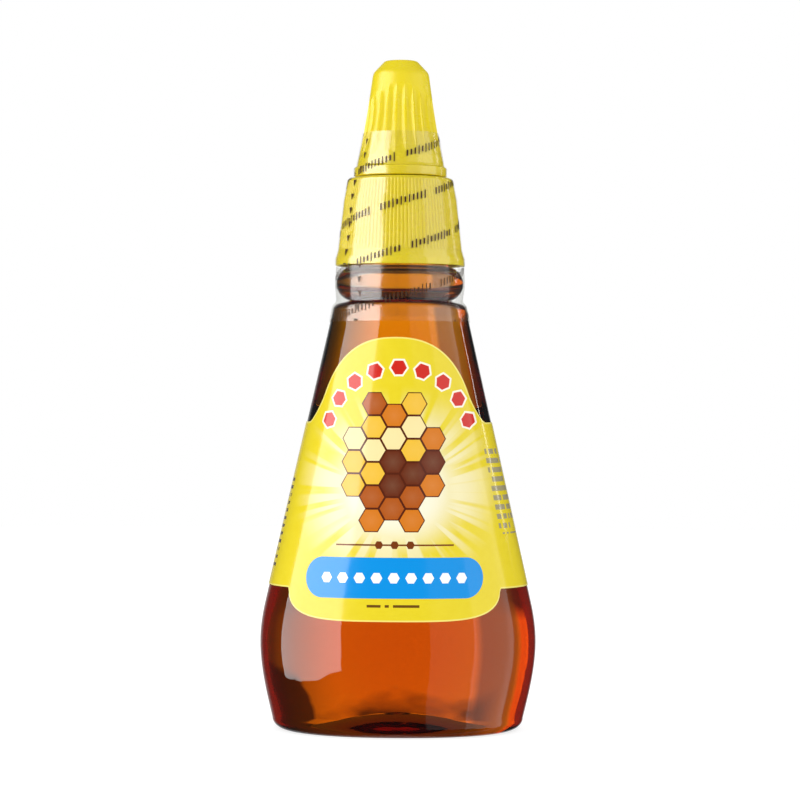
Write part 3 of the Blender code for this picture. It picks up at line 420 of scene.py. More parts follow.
# Offset print under a gloss varnish: flat, strong colours with a faint unevenness in the ink. The
# patterns are drawn in mm on the sheet.
INK_PATCHES_A_MM = 0.35
label_print, tree = new_material("offset_printed_varnished_film")
place = add(tree, "Attribute", attribute_name="print_mm").outputs["Vector"]
turn = add(tree, "Attribute", attribute_name="turn_deg").outputs["Fac"]
across, up, edge = add(tree, "SeparateXYZ", [place]).outputs
ink = add(tree, "TexNoise", {"Vector": place, "Scale": INK_PATCHES_A_MM, "Detail": 3.0})
yellow = add(tree, "MixRGB", [ink, "#E8D11C", "#EEDA2E"])

# A sunburst: a white glow a little wider than tall, with soft rays of uneven length and width.
GLOW_MIDDLE = (0.0, 66.0, 0.0)
GLOW_SQUEEZE = (0.86, 1.0, 0.0)
GLOW_FADES = (8.0, 20.0)
RAYS_FADE = (14.0, 28.5)
RAY_FINENESS = 8.5
from_glow = add(tree, "VectorMath", [place, GLOW_MIDDLE], "SUBTRACT")
from_glow = add(tree, "VectorMath", [from_glow, GLOW_SQUEEZE], "MULTIPLY")
reach = add(tree, "VectorMath", [from_glow], "LENGTH")
heading = add(tree, "VectorMath", [from_glow], "NORMALIZE")
rays = add(tree, "TexNoise", {"Vector": heading, "Scale": RAY_FINENESS, "Detail": 1.0})
ray = add(tree, "MapRange", [rays, 0.40, 0.56], interpolation_type="SMOOTHSTEP")
ray_fade = add(tree, "MapRange", [reach, *RAYS_FADE, 0.7, 0.0], interpolation_type="SMOOTHSTEP")
ray_ink = add(tree, "Math", [ray, ray_fade], "MULTIPLY")
glow = add(tree, "MapRange", [reach, *GLOW_FADES, 1.0, 0.0], interpolation_type="SMOOTHSTEP")
burst = add(tree, "Math", [glow, ray_ink], "MAXIMUM")
colour = add(tree, "MixRGB", [burst, yellow, "#FBF6DA"])


def hexagon_reach(tree, x, y):
    """How far out from a hexagon's middle a place lies, measured square to its nearest side."""
    x = add(tree, "Math", [x], "ABSOLUTE")
    y = add(tree, "Math", [y], "ABSOLUTE")
    half = add(tree, "Math", [y, 0.5], "MULTIPLY")
    slant = add(tree, "Math", [x, math.sqrt(0.75), half], "MULTIPLY_ADD")
    return add(tree, "Math", [slant, y], "MAXIMUM")


def wrapped(tree, value, spacing, start=0.0):
    """Distance from the nearest of evenly spaced marks."""
    moved = add(tree, "Math", [value, start], "SUBTRACT")
    return add(tree, "Math", [moved, spacing / 2, -spacing / 2], "WRAP")


def hexagon_row(tree, x, y, step, size, half_length):
    """1 on a row of hexagons that stand a step apart along x, and 0 off it."""
    mark = add(tree, "Math", [hexagon_reach(tree, wrapped(tree, x, step), y), size], "LESS_THAN")
    in_row = add(tree, "Math", [x, 0.0, half_length], "COMPARE")
    return add(tree, "Math", [mark, in_row], "MULTIPLY")


def in_box(tree, x, y, centre, half_size):
    """1 inside an upright rectangle and 0 outside it."""
    fits_x = add(tree, "Math", [x, centre[0], half_size[0]], "COMPARE")
    fits_y = add(tree, "Math", [y, centre[1], half_size[1]], "COMPARE")
    return add(tree, "Math", [fits_x, fits_y], "MULTIPLY")


def broken_rows(tree, x, y, row, tall, piece, filled):
    """Rows of short strokes with gaps, each stroke there or not by chance."""
    step = add(tree, "Math", [x, piece], "SNAP")
    level = add(tree, "Math", [y, row], "SNAP")
    spot = add(tree, "CombineXYZ", [step, level])
    chance = add(tree, "TexWhiteNoise", [spot])
    there = add(tree, "Math", [chance, filled], "LESS_THAN")
    line = add(tree, "Math", [wrapped(tree, y, row, row / 2), 0.0, tall / 2], "COMPARE")
    return add(tree, "Math", [there, line], "MULTIPLY")


def fill_ramp(ramp, stops):
    """Give a ramp node its stops of (position, colour)."""
    elements = ramp.color_ramp.elements
    while len(elements) < len(stops):
        elements.new(0.5)
    for element, (position, colour) in zip(elements, stops):
        element.position = position
        element.color = colour


# A honeycomb of whole cells in the middle, from two sets of cells that lie between each other.
COMB_PITCH = 6.2
COMB_CENTRE = (-1.0, 73.5)
COMB_HALF_SIZE = (14.5, 17.5)
COMB_LINE = 0.55
rise = add(tree, "Math", [up, COMB_CENTRE[1]], "SUBTRACT")
aside = add(tree, "Math", [across, COMB_CENTRE[0]], "SUBTRACT")
comb_width = COMB_PITCH * math.sqrt(3)
sets = []
for shift in (0.0, 0.5):
    x = wrapped(tree, aside, comb_width, shift * comb_width)
    y = wrapped(tree, rise, COMB_PITCH, shift * COMB_PITCH)
    sets.append(add(tree, "CombineXYZ", [x, y]))
lengths = [add(tree, "VectorMath", [cell], "LENGTH") for cell in sets]
second = add(tree, "Math", [lengths[1], lengths[0]], "LESS_THAN")
in_cell = add(tree, "Mix", {"Factor": second, 4: sets[0], 5: sets[1]}, data_type="VECTOR")
in_comb = add(tree, "CombineXYZ", [aside, rise])
cell_middle = add(tree, "VectorMath", [in_comb, in_cell], "SUBTRACT")
in_oval = add(tree, "VectorMath", [cell_middle, (*COMB_HALF_SIZE, 1.0)], "DIVIDE")
in_oval = add(tree, "VectorMath", [in_oval], "LENGTH")
comb = add(tree, "Math", [in_oval, 1.0], "LESS_THAN")
# The place of a cell's middle, in whole steps of a tenth of a mm, draws its ink.
cell_name = add(tree, "VectorMath", [cell_middle, (0.05, 0.05, 0.0)], "ADD")
cell_name = add(tree, "VectorMath", [cell_name, (0.1, 0.1, 1.0)], "SNAP")
cell_chance = add(tree, "TexWhiteNoise", [cell_name])
cell_ink = add(tree, "ValToRGB", [cell_chance])
cell_ink.color_ramp.interpolation = "CONSTANT"
cell_inks = ("#E9A21E", "#F4C23A", "#B4560F", "#6B2A10", "#FBE7A6", "#D97A14")
fill_ramp(cell_ink, [(i / len(cell_inks), linear(code)) for i, code in enumerate(cell_inks)])
cell_x, cell_y, _ = add(tree, "SeparateXYZ", [in_cell]).outputs
cell_reach = hexagon_reach(tree, cell_x, cell_y)
rim = add(tree, "Math", [cell_reach, COMB_PITCH / 2 - COMB_LINE / 2], "GREATER_THAN")
sheen = add(tree, "MapRange", [cell_reach, 0.0, COMB_PITCH / 2, 0.05, 0.0])
cell_colour = add(tree, "MixRGB", [sheen, cell_ink, "#FFF3C8"])
cell_colour = add(tree, "MixRGB", [rim, cell_colour, "#5A2410"])
colour = add(tree, "MixRGB", [comb, colour, cell_colour])

# An arc of red hexagons with white edges follows the arch above it.
ARC_CENTRE_HEIGHT = 77.5
ARC_RADIUS = 21.2
ARC_STEP = 6.5
ROW_MARKS = 9
rise = add(tree, "Math", [up, ARC_CENTRE_HEIGHT], "SUBTRACT")
round_arc = add(tree, "Math", [across, rise], "ARCTAN2")
round_arc = add(tree, "Math", [round_arc, ARC_RADIUS], "MULTIPLY")
out_of_arc = add(tree, "VectorMath", [add(tree, "CombineXYZ", [across, rise])], "LENGTH")
out_of_arc = add(tree, "Math", [out_of_arc, ARC_RADIUS], "SUBTRACT")
for size, code in ((2.35, "#FFF8E6"), (1.85, "#D3281C")):
    marks = hexagon_row(tree, round_arc, out_of_arc, ARC_STEP, size, ROW_MARKS * ARC_STEP / 2)
    colour = add(tree, "MixRGB", [marks, colour, code])

# A blue pill on the tab, with a row of plain white hexagons.
PILL_HEIGHT = 42.8
PILL_HALF_LENGTH = 25.0
PILL_RADIUS = 5.4
PILL_MARK_STEP = 4.6
PILL_MARK_SIZE = 1.35
size_across = add(tree, "Math", [across], "ABSOLUTE")
past = add(tree, "Math", [size_across, PILL_HALF_LENGTH - PILL_RADIUS], "SUBTRACT")
past = add(tree, "Math", [past, 0.0], "MAXIMUM")
pill_rise = add(tree, "Math", [up, PILL_HEIGHT], "SUBTRACT")
pill_reach = add(tree, "VectorMath", [add(tree, "CombineXYZ", [past, pill_rise])], "LENGTH")
in_pill = add(tree, "Math", [pill_reach, PILL_RADIUS], "LESS_THAN")
colour = add(tree, "MixRGB", [in_pill, colour, "#0094E6"])
pill_row = ROW_MARKS * PILL_MARK_STEP / 2
marks = hexagon_row(tree, across, pill_rise, PILL_MARK_STEP, PILL_MARK_SIZE, pill_row)
colour = add(tree, "MixRGB", [marks, colour, "#FFFFFF"])

# Small print, all of it plain strokes: a rule with three small hexagons over the pill, short dashes
# on the tab, bars at the left, grey rows at the right and two panels of thin lines at the back.
RULE_HEIGHT = 51.5
RULE_HALF_SIZE = (16.0, 0.22)
RULE_MARK_STEP = 4.2
RULE_MARK_SIZE = 1.0
rule = in_box(tree, across, up, (0.0, RULE_HEIGHT), RULE_HALF_SIZE)
above_rule = add(tree, "Math", [up, RULE_HEIGHT], "SUBTRACT")
marks = hexagon_row(tree, across, above_rule, RULE_MARK_STEP, RULE_MARK_SIZE, 1.5 * RULE_MARK_STEP)
rule = add(tree, "Math", [rule, marks], "MAXIMUM")
colour = add(tree, "MixRGB", [rule, colour, "#7A3A12"])
# What each block runs along, its middle and half size, the row, stroke height, piece and share of
# pieces filled, and the ink.
prints = [
    (across, (0.0, 35.4), (7.0, 0.6), 1.2, 0.7, 1.1, 0.8, "#6E4A14"),
    (turn, (-77.5, 57.5), (4.5, 13.5), 2.1, 0.9, 3.0, 0.8, "#4A3A20"),
    (turn, (75.0, 65.5), (15.0, 11.5), 2.5, 1.4, 2.4, 0.72, "#A9A07A"),
    (turn, (150.0, 62.0), (17.0, 17.0), 2.0, 0.7, 1.6, 0.8, "#6F6A55"),
    (turn, (-150.0, 62.0), (17.0, 17.0), 2.0, 0.7, 1.6, 0.8, "#6F6A55"),
]
for run, centre, half_size, row, tall, piece, filled, code in prints:
    strokes = broken_rows(tree, run, up, row, tall, piece, filled)
    block = in_box(tree, run, up, centre, half_size)
    strokes = add(tree, "Math", [strokes, block], "MULTIPLY")
    colour = add(tree, "MixRGB", [strokes, colour, code])

# The cut edge shows a thin line of paler film. The sheet lies on the wall with slow ripples.
CUT_EDGE_WIDTH = 0.4
RIPPLES_A_MM = 0.12
RIPPLE_DEPTH = 0.3
cut_edge = add(tree, "Math", [edge, CUT_EDGE_WIDTH], "LESS_THAN")
colour = add(tree, "MixRGB", [cut_edge, colour, "#F6E878"])
ripples = add(tree, "TexNoise", {"Vector": place, "Scale": RIPPLES_A_MM, "Detail": 1.0})
laid = add(tree, "Bump", {"Height": ripples, "Strength": 0.15, "Distance": RIPPLE_DEPTH * MM})
label_shader = add(tree, "BsdfPrincipled", {
    "Base Color": colour, "Roughness": 0.15, "IOR": 1.5, "Coat Weight": 0.25, "Coat Roughness": 0.03,
    "Normal": laid,
})
add(tree, "OutputMaterial", [label_shader])
put_on(label, label_print)
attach(label, "bottle")
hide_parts("wrap_label")

# Cap liner
# A ring of white foamed polyethylene, punched from sheet, that seals the bottle's lip under the
# cap's deck. It is pressed in and keeps the modelled piece's shape.

FOAM_CELL = 0.35
FOAM_PIT = 0.08
foam, tree = new_material("punched_foam_liner")
place = add(tree, "NewGeometry")
cells = add(tree, "TexVoronoi", {"Vector": place, "Scale": 1 / (FOAM_CELL * MM)})
pits = add(tree, "Bump", {"Height": cells, "Strength": 0.5, "Distance": FOAM_PIT * MM})
shade = add(tree, "MixRGB", [cells, "#F2F0E8", "#DEDBCF"])
foam_shader = add(tree, "BsdfPrincipled", {"Base Color": shade, "Roughness": 0.75, "Normal": pits})
add(tree, "OutputMaterial", [foam_shader])
put_on(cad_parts["cap_liner"], foam)

# Screw cap
# Injection-moulded yellow polypropylene: a collar with fine upright gripping ribs and a plain
# flared lip, a deck, and on it the threaded nozzle with the pin that plugs the spout. Its inside
# thread runs on the neck's.

cap_low, cap_high = (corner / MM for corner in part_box("screw_cap"))
CAP_FOOT = cap_low.z
CAP_LIP_RADIUS = cap_high.x
PIN_TOP = cap_high.z
DECK_TOP = LIP_HEIGHT + 3.0
DECK_FOOT = DECK_TOP - 1.4
CAP_BORE = 13.4
CAP_SHOULDER_DROP = 1.1
CAP_SHOULDER_WIDTH = 1.5
CAP_TOP_RADIUS = 14.4
CAP_WAIST_RADIUS = 15.35
CAP_WAIST_HEIGHT = DECK_TOP - 6.0
RIB_FOOT_RADIUS = 16.85
RIB_FOOT_HEIGHT = CAP_FOOT + 4.4
RIB_COUNT = 96
RIB_DEPTH = 0.3
RIB_FADE = 0.5
RIB_END_FADE = 0.4
RIB_SHARPNESS = 0.8
POINTS_A_RIB = 6
LIP_BAND = 1.8
LIP_WALL = 1.1
BORE_FOOT = RIB_FOOT_HEIGHT + LIP_BAND
NOZZLE_RADIUS = 8.05
NOZZLE_TIP_RADIUS = 6.25
NOZZLE_WALL = 1.3
NOZZLE_STEP_TOP = DECK_TOP + 7.7
NOZZLE_TOP = DECK_TOP + 19.6
PIN_BASE_RADIUS = 2.4
PIN_TIP_RADIUS = 1.9
PIN_TIP_FOOT = PIN_TOP - 3.8
SPOUT_THREAD_LEAD = 5.0
SPOUT_THREAD_HALF_WIDTH = 0.7
SPOUT_THREAD_DEPTH = 0.8
NOZZLE_THREAD_FOOT = DECK_TOP + 1.7
NOZZLE_THREAD_TURNS = 1.0
CAP_THREAD_DEPTH = 1.1
CAP_THREAD_FOOT = THREAD_FOOT - 1.905
CAP_THREAD_TURNS = 1.25
WINDOW_RING_RADIUS = 3.675
WINDOW_RADIUS = 1.1
WINDOW_COUNT = 3
DRILL_SIDES = 26
DRILL_TWIST = 0.071


def dense(points, spacing):
    """The same run of points with more put in where two lie further apart than the spacing."""
    made = [points[0]]
    for start, end in zip(points, points[1:]):
        made += straight(start, end, max(1, round(math.dist(start, end) / spacing)))
    return made


def softened(points, radius, steps=3):
    """Round the corners of a run of (radius, height) points."""
    made = [points[0]]
    for before, corner, after in zip(points, points[1:], points[2:]):
        corner = np.array(corner)
        sides = (before - corner, after - corner)
        lengths = [np.linalg.norm(side) for side in sides]
        reach = min(radius, 0.45 * min(lengths))
        start, end = (corner + side / length * reach for side, length in zip(sides, lengths))
        for t in np.linspace(0, 1, steps + 1):
            made.append(tuple((1 - t) ** 2 * start + 2 * t * (1 - t) * corner + t ** 2 * end))
    return made + [points[-1]]


def turned(name, radii, heights, closed_loop=False):
    """A turned piece from a table of radii, one row a height and one column an angle."""
    angles = around(radii.shape[1])
    rings = (radii * np.sin(angles), -radii * np.cos(angles), np.tile(heights, (len(angles), 1)).T)
    return grid(name, np.stack(rings, axis=-1), closed_loop)


def turned_table(parts, columns):
    """From runs of points: the heights, the rows of each run, the angles, and a table of radii."""
    profile = np.array([point for part in parts for point in part])
    starts = np.cumsum([0] + [len(part) for part in parts])
    runs = [slice(start, end) for start, end in zip(starts, starts[1:])]
    return profile[:, 1], runs, around(columns), np.repeat(profile[:, :1], columns, axis=1)


pin_and_nozzle = softened([
    (0.0, PIN_TOP), (PIN_TIP_RADIUS, PIN_TOP), (PIN_TIP_RADIUS, PIN_TIP_FOOT),
    (PIN_BASE_RADIUS, NOZZLE_TOP), (NOZZLE_TIP_RADIUS, NOZZLE_TOP),
    (NOZZLE_TIP_RADIUS, NOZZLE_STEP_TOP), (NOZZLE_RADIUS, NOZZLE_STEP_TOP),
], 0.3)
nozzle_side = dense([(NOZZLE_RADIUS, NOZZLE_STEP_TOP - 0.3), (NOZZLE_RADIUS, DECK_TOP + 0.3)],
                    THREAD_ROW)
deck = [(NOZZLE_RADIUS + 0.3, DECK_TOP)]
deck += arc(CAP_TOP_RADIUS - CAP_SHOULDER_WIDTH, DECK_TOP - CAP_SHOULDER_DROP, CAP_SHOULDER_WIDTH,
            CAP_SHOULDER_DROP, 90, 0, 8)
collar = dense([(CAP_TOP_RADIUS, DECK_TOP - CAP_SHOULDER_DROP), (CAP_WAIST_RADIUS, CAP_WAIST_HEIGHT),
                (RIB_FOOT_RADIUS, RIB_FOOT_HEIGHT)], 1.2)[1:]
collar += [(blend(RIB_FOOT_RADIUS, CAP_LIP_RADIUS, 0.15), RIB_FOOT_HEIGHT - 0.4)]
lip = softened([
    (blend(RIB_FOOT_RADIUS, CAP_LIP_RADIUS, 0.3), RIB_FOOT_HEIGHT - 0.8),
    (CAP_LIP_RADIUS, CAP_FOOT + LIP_BAND), (CAP_LIP_RADIUS, CAP_FOOT),
    (CAP_LIP_RADIUS - LIP_WALL, CAP_FOOT), (CAP_LIP_RADIUS - 2 * LIP_WALL, CAP_FOOT + LIP_BAND),
    (CAP_BORE, BORE_FOOT), (CAP_BORE, BORE_FOOT + 0.6),
], 0.35)
bore_side = dense([(CAP_BORE, BORE_FOOT + 0.8), (CAP_BORE, DECK_FOOT - 0.4)], THREAD_ROW)
wide_bore, wide_top, narrow_bore, narrow_top = (size - NOZZLE_WALL for size in (
    NOZZLE_RADIUS, NOZZLE_STEP_TOP, NOZZLE_TIP_RADIUS, NOZZLE_TOP))
underside = softened([
    (CAP_BORE, DECK_FOOT - 0.2), (CAP_BORE, DECK_FOOT), (wide_bore, DECK_FOOT),
    (wide_bore, wide_top), (narrow_bore, wide_top), (narrow_bore, narrow_top), (0.0, narrow_top),
], 0.3)
cap_parts = [pin_and_nozzle, nozzle_side, deck, collar, lip, bore_side, underside]
heights, runs, angles, radii = turned_table(cap_parts, RIB_COUNT * POINTS_A_RIB)
radii[runs[1]] += thread(heights[runs[1]], angles, NOZZLE_THREAD_FOOT, SPOUT_THREAD_LEAD,
                         NOZZLE_THREAD_TURNS, SPOUT_THREAD_HALF_WIDTH, SPOUT_THREAD_DEPTH)
radii[runs[5]] -= thread(heights[runs[5]], angles, CAP_THREAD_FOOT, THREAD_LEAD,
                         CAP_THREAD_TURNS, THREAD_HALF_WIDTH, CAP_THREAD_DEPTH)
rows = slice(runs[3].start - 3, runs[3].stop)
rib_wave = np.abs(np.sin(angles * RIB_COUNT / 2)) ** RIB_SHARPNESS
rib_start = np.clip((DECK_TOP - CAP_SHOULDER_DROP + RIB_FADE - heights[rows]) / RIB_FADE, 0, 1)
rib_end = np.clip((heights[rows] - RIB_FOOT_HEIGHT + RIB_END_FADE) / RIB_END_FADE, 0, 1)
radii[rows] -= RIB_DEPTH * (rib_start * rib_end)[:, None] * (1 - rib_wave)[None, :]
cap = turned("ribbed_screw_cap", radii, heights)

# Three windows for the honey are drilled round the pin. The drill is turned a little so that none
# of its edges falls on an edge of the mesh.
for window in range(WINDOW_COUNT):
    turn = math.tau * window / WINDOW_COUNT
    middle = WINDOW_RING_RADIUS * np.array((math.sin(turn), -math.cos(turn), 0)) + (0, 0, NOZZLE_TOP)
    bpy.ops.mesh.primitive_cylinder_add(
        vertices=DRILL_SIDES, radius=WINDOW_RADIUS * MM, depth=4 * NOZZLE_WALL * MM,
        location=middle * MM, rotation=(0, 0, DRILL_TWIST))
    drill = bpy.context.object
    cut = cap.modifiers.new("window", "BOOLEAN")
    cut.object = drill
    cut.operation = "DIFFERENCE"
    cut.solver = "EXACT"
    drilled = bpy.data.meshes.new_from_object(cap.evaluated_get(bpy.context.evaluated_depsgraph_get()))
    cap.modifiers.clear()
    cap.data = drilled
    bpy.data.objects.remove(drill)


FLOW_SPACING = 6
GRAIN_SIZE = 0.4
GRAIN_DEPTH = 0.03
GLOW_DEPTH = 1.5


def moulded_yellow(name, base, deeper):
    """Injection-moulded polypropylene: satin, slightly see-through, with faint flow marks."""
    material, tree = new_material(name)
    place = add(tree, "NewGeometry")
    flow = add(tree, "TexNoise", {"Vector": place, "Scale": 1 / (FLOW_SPACING * MM), "Detail": 3.0})
    colour = add(tree, "MixRGB", [flow, base, deeper])
    gloss = add(tree, "MapRange", [flow, 0.3, 0.7, 0.24, 0.32])
    _, skin = uneven(tree, place, GRAIN_SIZE, 2.0, 0.15, GRAIN_DEPTH)
    shader = add(tree, "BsdfPrincipled", {
        "Base Color": colour, "Roughness": gloss, "IOR": 1.5, "Normal": skin, "Subsurface Weight": 0.15,
        "Subsurface Radius": (1.0, 0.8, 0.15), "Subsurface Scale": GLOW_DEPTH * MM,
    })
    add(tree, "OutputMaterial", [shader])
    return material


put_on(cap, moulded_yellow("moulded_yellow_polypropylene", "#EDD91E", "#E6CF14"))
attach(cap, "cap")
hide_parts("screw_cap")

# Spout seal ring
# A soft white washer of thermoplastic rubber, pressed on the nozzle's step when the spout is
# twisted shut. It keeps the modelled piece's shape.

DUST_PATCH = 0.6
DUST_RISE = 0.03
rubber, tree = new_material("moulded_soft_seal")
place = add(tree, "NewGeometry")
dust, matt = uneven(tree, place, DUST_PATCH, 3.0, 0.3, DUST_RISE)
shade = add(tree, "MixRGB", [dust, "#E9E6DC", "#D2CEC2"])
rubber_shader = add(tree, "BsdfPrincipled", {"Base Color": shade, "Roughness": 0.6, "Normal": matt})
add(tree, "OutputMaterial", [rubber_shader])
put_on(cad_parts["spout_seal_ring"], rubber)

# Twist spout
# Injection-moulded yellow polypropylene: a cone with upright gripping flutes that run out under
# its chamfered tip, a hole in the tip, and a flange at the foot. Its inside thread runs on the
# nozzle's.

spout_low, spout_high = (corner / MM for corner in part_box("twist_spout"))
SPOUT_FOOT = spout_low.z
SPOUT_TOP = spout_high.z
FLANGE_RADIUS = spout_high.x
FLANGE_HEIGHT = 2.6
SPOUT_FOOT_RADIUS = FLANGE_RADIUS - 0.6
SPOUT_TOP_RADIUS = 7.75
SPOUT_WAIST = 0.22
CONE_FOOT = SPOUT_FOOT + FLANGE_HEIGHT
CHAMFER_WIDTH = 3.3
CHAMFER_FOOT = SPOUT_TOP - 3.2
CONE_TOP = CHAMFER_FOOT - 0.9
ORIFICE_RADIUS = 2.2
TIP_FOOT = SPOUT_TOP - 1.5
SPOUT_THREAD_BORE = 9.25
SPOUT_BORE = 6.55
SPOUT_STEP = NOZZLE_STEP_TOP + 1.9
SPOUT_THREAD_DROP = 1.5
SPOUT_THREAD_START = 0.4
SPOUT_THREAD_TURNS = 0.6
FLUTE_COUNT = 24
FLUTE_DEPTH = 0.85
FLUTE_RUNOUT = 0.6
FLUTE_SHARPNESS = 0.7
FLUTE_FOOT_RISE = 5.8
FLUTE_SIDE_TOP_RISE = 21.2
FLUTE_FRONT_TOP_RISE = 25.2
POINTS_A_FLUTE = 14


def spout_radius(height):
    share = (height - CONE_FOOT) / (CONE_TOP - CONE_FOOT)
    return blend(SPOUT_FOOT_RADIUS, SPOUT_TOP_RADIUS, share) - SPOUT_WAIST * 4 * share * (1 - share)


tip = softened([
    (ORIFICE_RADIUS, SPOUT_TOP - 0.5), (ORIFICE_RADIUS, SPOUT_TOP),
    (SPOUT_TOP_RADIUS - CHAMFER_WIDTH, SPOUT_TOP), (SPOUT_TOP_RADIUS - 0.3, CHAMFER_FOOT),
    (SPOUT_TOP_RADIUS, CONE_TOP), (spout_radius(CONE_TOP - 1), CONE_TOP - 1),
], 0.5, 4)
side_heights = np.linspace(CONE_TOP - 1.4, CONE_FOOT + 0.9, 56)
side = [(spout_radius(height), height) for height in side_heights]
flange = softened([
    (spout_radius(CONE_FOOT + 0.6), CONE_FOOT + 0.6), (SPOUT_FOOT_RADIUS + 0.02, CONE_FOOT),
    (FLANGE_RADIUS, CONE_FOOT - 0.1), (FLANGE_RADIUS, SPOUT_FOOT), (SPOUT_THREAD_BORE, SPOUT_FOOT),
    (SPOUT_THREAD_BORE, SPOUT_FOOT + 0.5),
], 0.35)
spout_bore = dense([(SPOUT_THREAD_BORE, SPOUT_FOOT + 0.7), (SPOUT_THREAD_BORE, SPOUT_STEP - 0.4)],
                   THREAD_ROW)
throat = softened([
    (SPOUT_THREAD_BORE, SPOUT_STEP - 0.2), (SPOUT_THREAD_BORE, SPOUT_STEP), (SPOUT_BORE, SPOUT_STEP),
    (SPOUT_BORE, TIP_FOOT - 4.4), (SPOUT_BORE - 3.4, TIP_FOOT),
    (ORIFICE_RADIUS, TIP_FOOT), (ORIFICE_RADIUS, TIP_FOOT + 0.4),
], 0.3)
spout_parts = [tip, side, flange, spout_bore, throat]
heights, runs, angles, radii = turned_table(spout_parts, FLUTE_COUNT * POINTS_A_FLUTE)
flute_top = SPOUT_FOOT + blend(FLUTE_SIDE_TOP_RISE, FLUTE_FRONT_TOP_RISE, np.cos(angles) ** 2)
flute_foot = SPOUT_FOOT + FLUTE_FOOT_RISE
share_up = (heights[runs[1]][:, None] - flute_foot) / (flute_top[None, :] - flute_foot)
flute_run = np.sin(math.pi * np.clip(share_up, 0, 1)) ** FLUTE_RUNOUT
flute_wave = np.abs(np.cos(angles * FLUTE_COUNT / 2)) ** FLUTE_SHARPNESS
radii[runs[1]] -= FLUTE_DEPTH * flute_run * flute_wave[None, :]
radii[runs[3]] -= thread(heights[runs[3]], angles, NOZZLE_THREAD_FOOT - SPOUT_THREAD_DROP,
                         SPOUT_THREAD_LEAD, SPOUT_THREAD_TURNS, SPOUT_THREAD_HALF_WIDTH,
                         SPOUT_THREAD_DEPTH, SPOUT_THREAD_START)
spout = turned("fluted_twist_spout", radii, heights, closed_loop=True)
put_on(spout, moulded_yellow("moulded_yellow_spout", "#EEDA1C", "#E6D012"))
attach(spout, "spout")
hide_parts("twist_spout")

# Shrink film
# One clear sleeve of heat-shrunk film, printed with slanting rows of dark marks and perforated down
# the left, which seals the spout, the cap and the neck. It tears between them, so each band moves
# with what it grips.

FILM_THICKNESS = 0.08
FILM_GAP = 0.12
FILM_COLUMNS = 192
FILM_TOP = SPOUT_FOOT + 12.0
FILM_OVER_BEAD = BEAD_RADIUS + 0.25
FILM_WAIST = 17.2


def film_band(name, outline, body, node, wrinkle):
    """A thin clear shell round an outline of (radius, height) points, drawn in small folds."""
    profile = np.array(outline, float)
    angles = around(FILM_COLUMNS)
    heights = profile[:, 1][:, None]
    folds = np.sin(5 * angles + 0.35 * heights) + 0.6 * np.sin(11 * angles - 0.5 * heights + 1.3)
    folds += 0.5 * np.sin(2 * angles + 1.6 * heights)
    inner = profile[:, :1] + wrinkle * (1.6 + folds) / 2
    outer = inner + FILM_THICKNESS
    radii = np.concatenate((outer, inner[::-1]))
    band = turned(name, radii, np.concatenate((profile[:, 1], profile[::-1, 1])), closed_loop=True)
    x, y, z = np.array([vertex.co for vertex in band.data.vertices]).T / MM
    turn = np.arctan2(x, -y)
    keep_for_material(band, "sleeve_mm", np.column_stack((turn * np.hypot(x, y), z, turn)))
    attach(band, body)
    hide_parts(node)
    return band


cone_rows = np.linspace(FILM_TOP, CONE_FOOT + 0.4, 22)
flange_rows = np.linspace(CONE_FOOT - 0.2, SPOUT_FOOT + 0.2, 6)
spout_band = [(spout_radius(height) + FILM_GAP, height) for height in cone_rows]
spout_band += [(FLANGE_RADIUS + FILM_GAP, height) for height in flange_rows]
cap_band = arc(CAP_TOP_RADIUS - CAP_SHOULDER_WIDTH, DECK_TOP - CAP_SHOULDER_DROP,
               CAP_SHOULDER_WIDTH + FILM_GAP, CAP_SHOULDER_DROP + FILM_GAP, 60, 0, 6)
cap_band += [(radius + FILM_GAP, height) for radius, height in dense([
    (CAP_TOP_RADIUS, DECK_TOP - CAP_SHOULDER_DROP), (CAP_WAIST_RADIUS, CAP_WAIST_HEIGHT),
    (RIB_FOOT_RADIUS, RIB_FOOT_HEIGHT), (CAP_LIP_RADIUS, CAP_FOOT + LIP_BAND),
    (CAP_LIP_RADIUS, CAP_FOOT),
], 0.7)[1:]]
neck_band = softened([
    (CAP_LIP_RADIUS - 0.1, CAP_FOOT - 0.3), (FILM_OVER_BEAD, BEAD_HEIGHT + 0.8),
    (FILM_OVER_BEAD, BEAD_HEIGHT - 0.8), (FILM_WAIST, SHOULDER_HEIGHT + SHOULDER_ROUND + 0.5),
    (SHOULDER_HALF_WIDTH, SHOULDER_HEIGHT + 1.5), (SHOULDER_HALF_WIDTH + 0.35, SHOULDER_HEIGHT - 0.5),
    (SHOULDER_HALF_WIDTH + 0.2 - 3 * CONE_SLOPE, SHOULDER_HEIGHT - 3.0),
], 0.6, 5)
bands = [
    film_band("film_on_spout", spout_band, "spout", "film_spout_band", 0.06),
    film_band("film_on_cap", cap_band, "cap", "film_cap_band", 0.05),
    film_band("film_on_neck", neck_band, "bottle", "film_neck_band", 0.08),
]

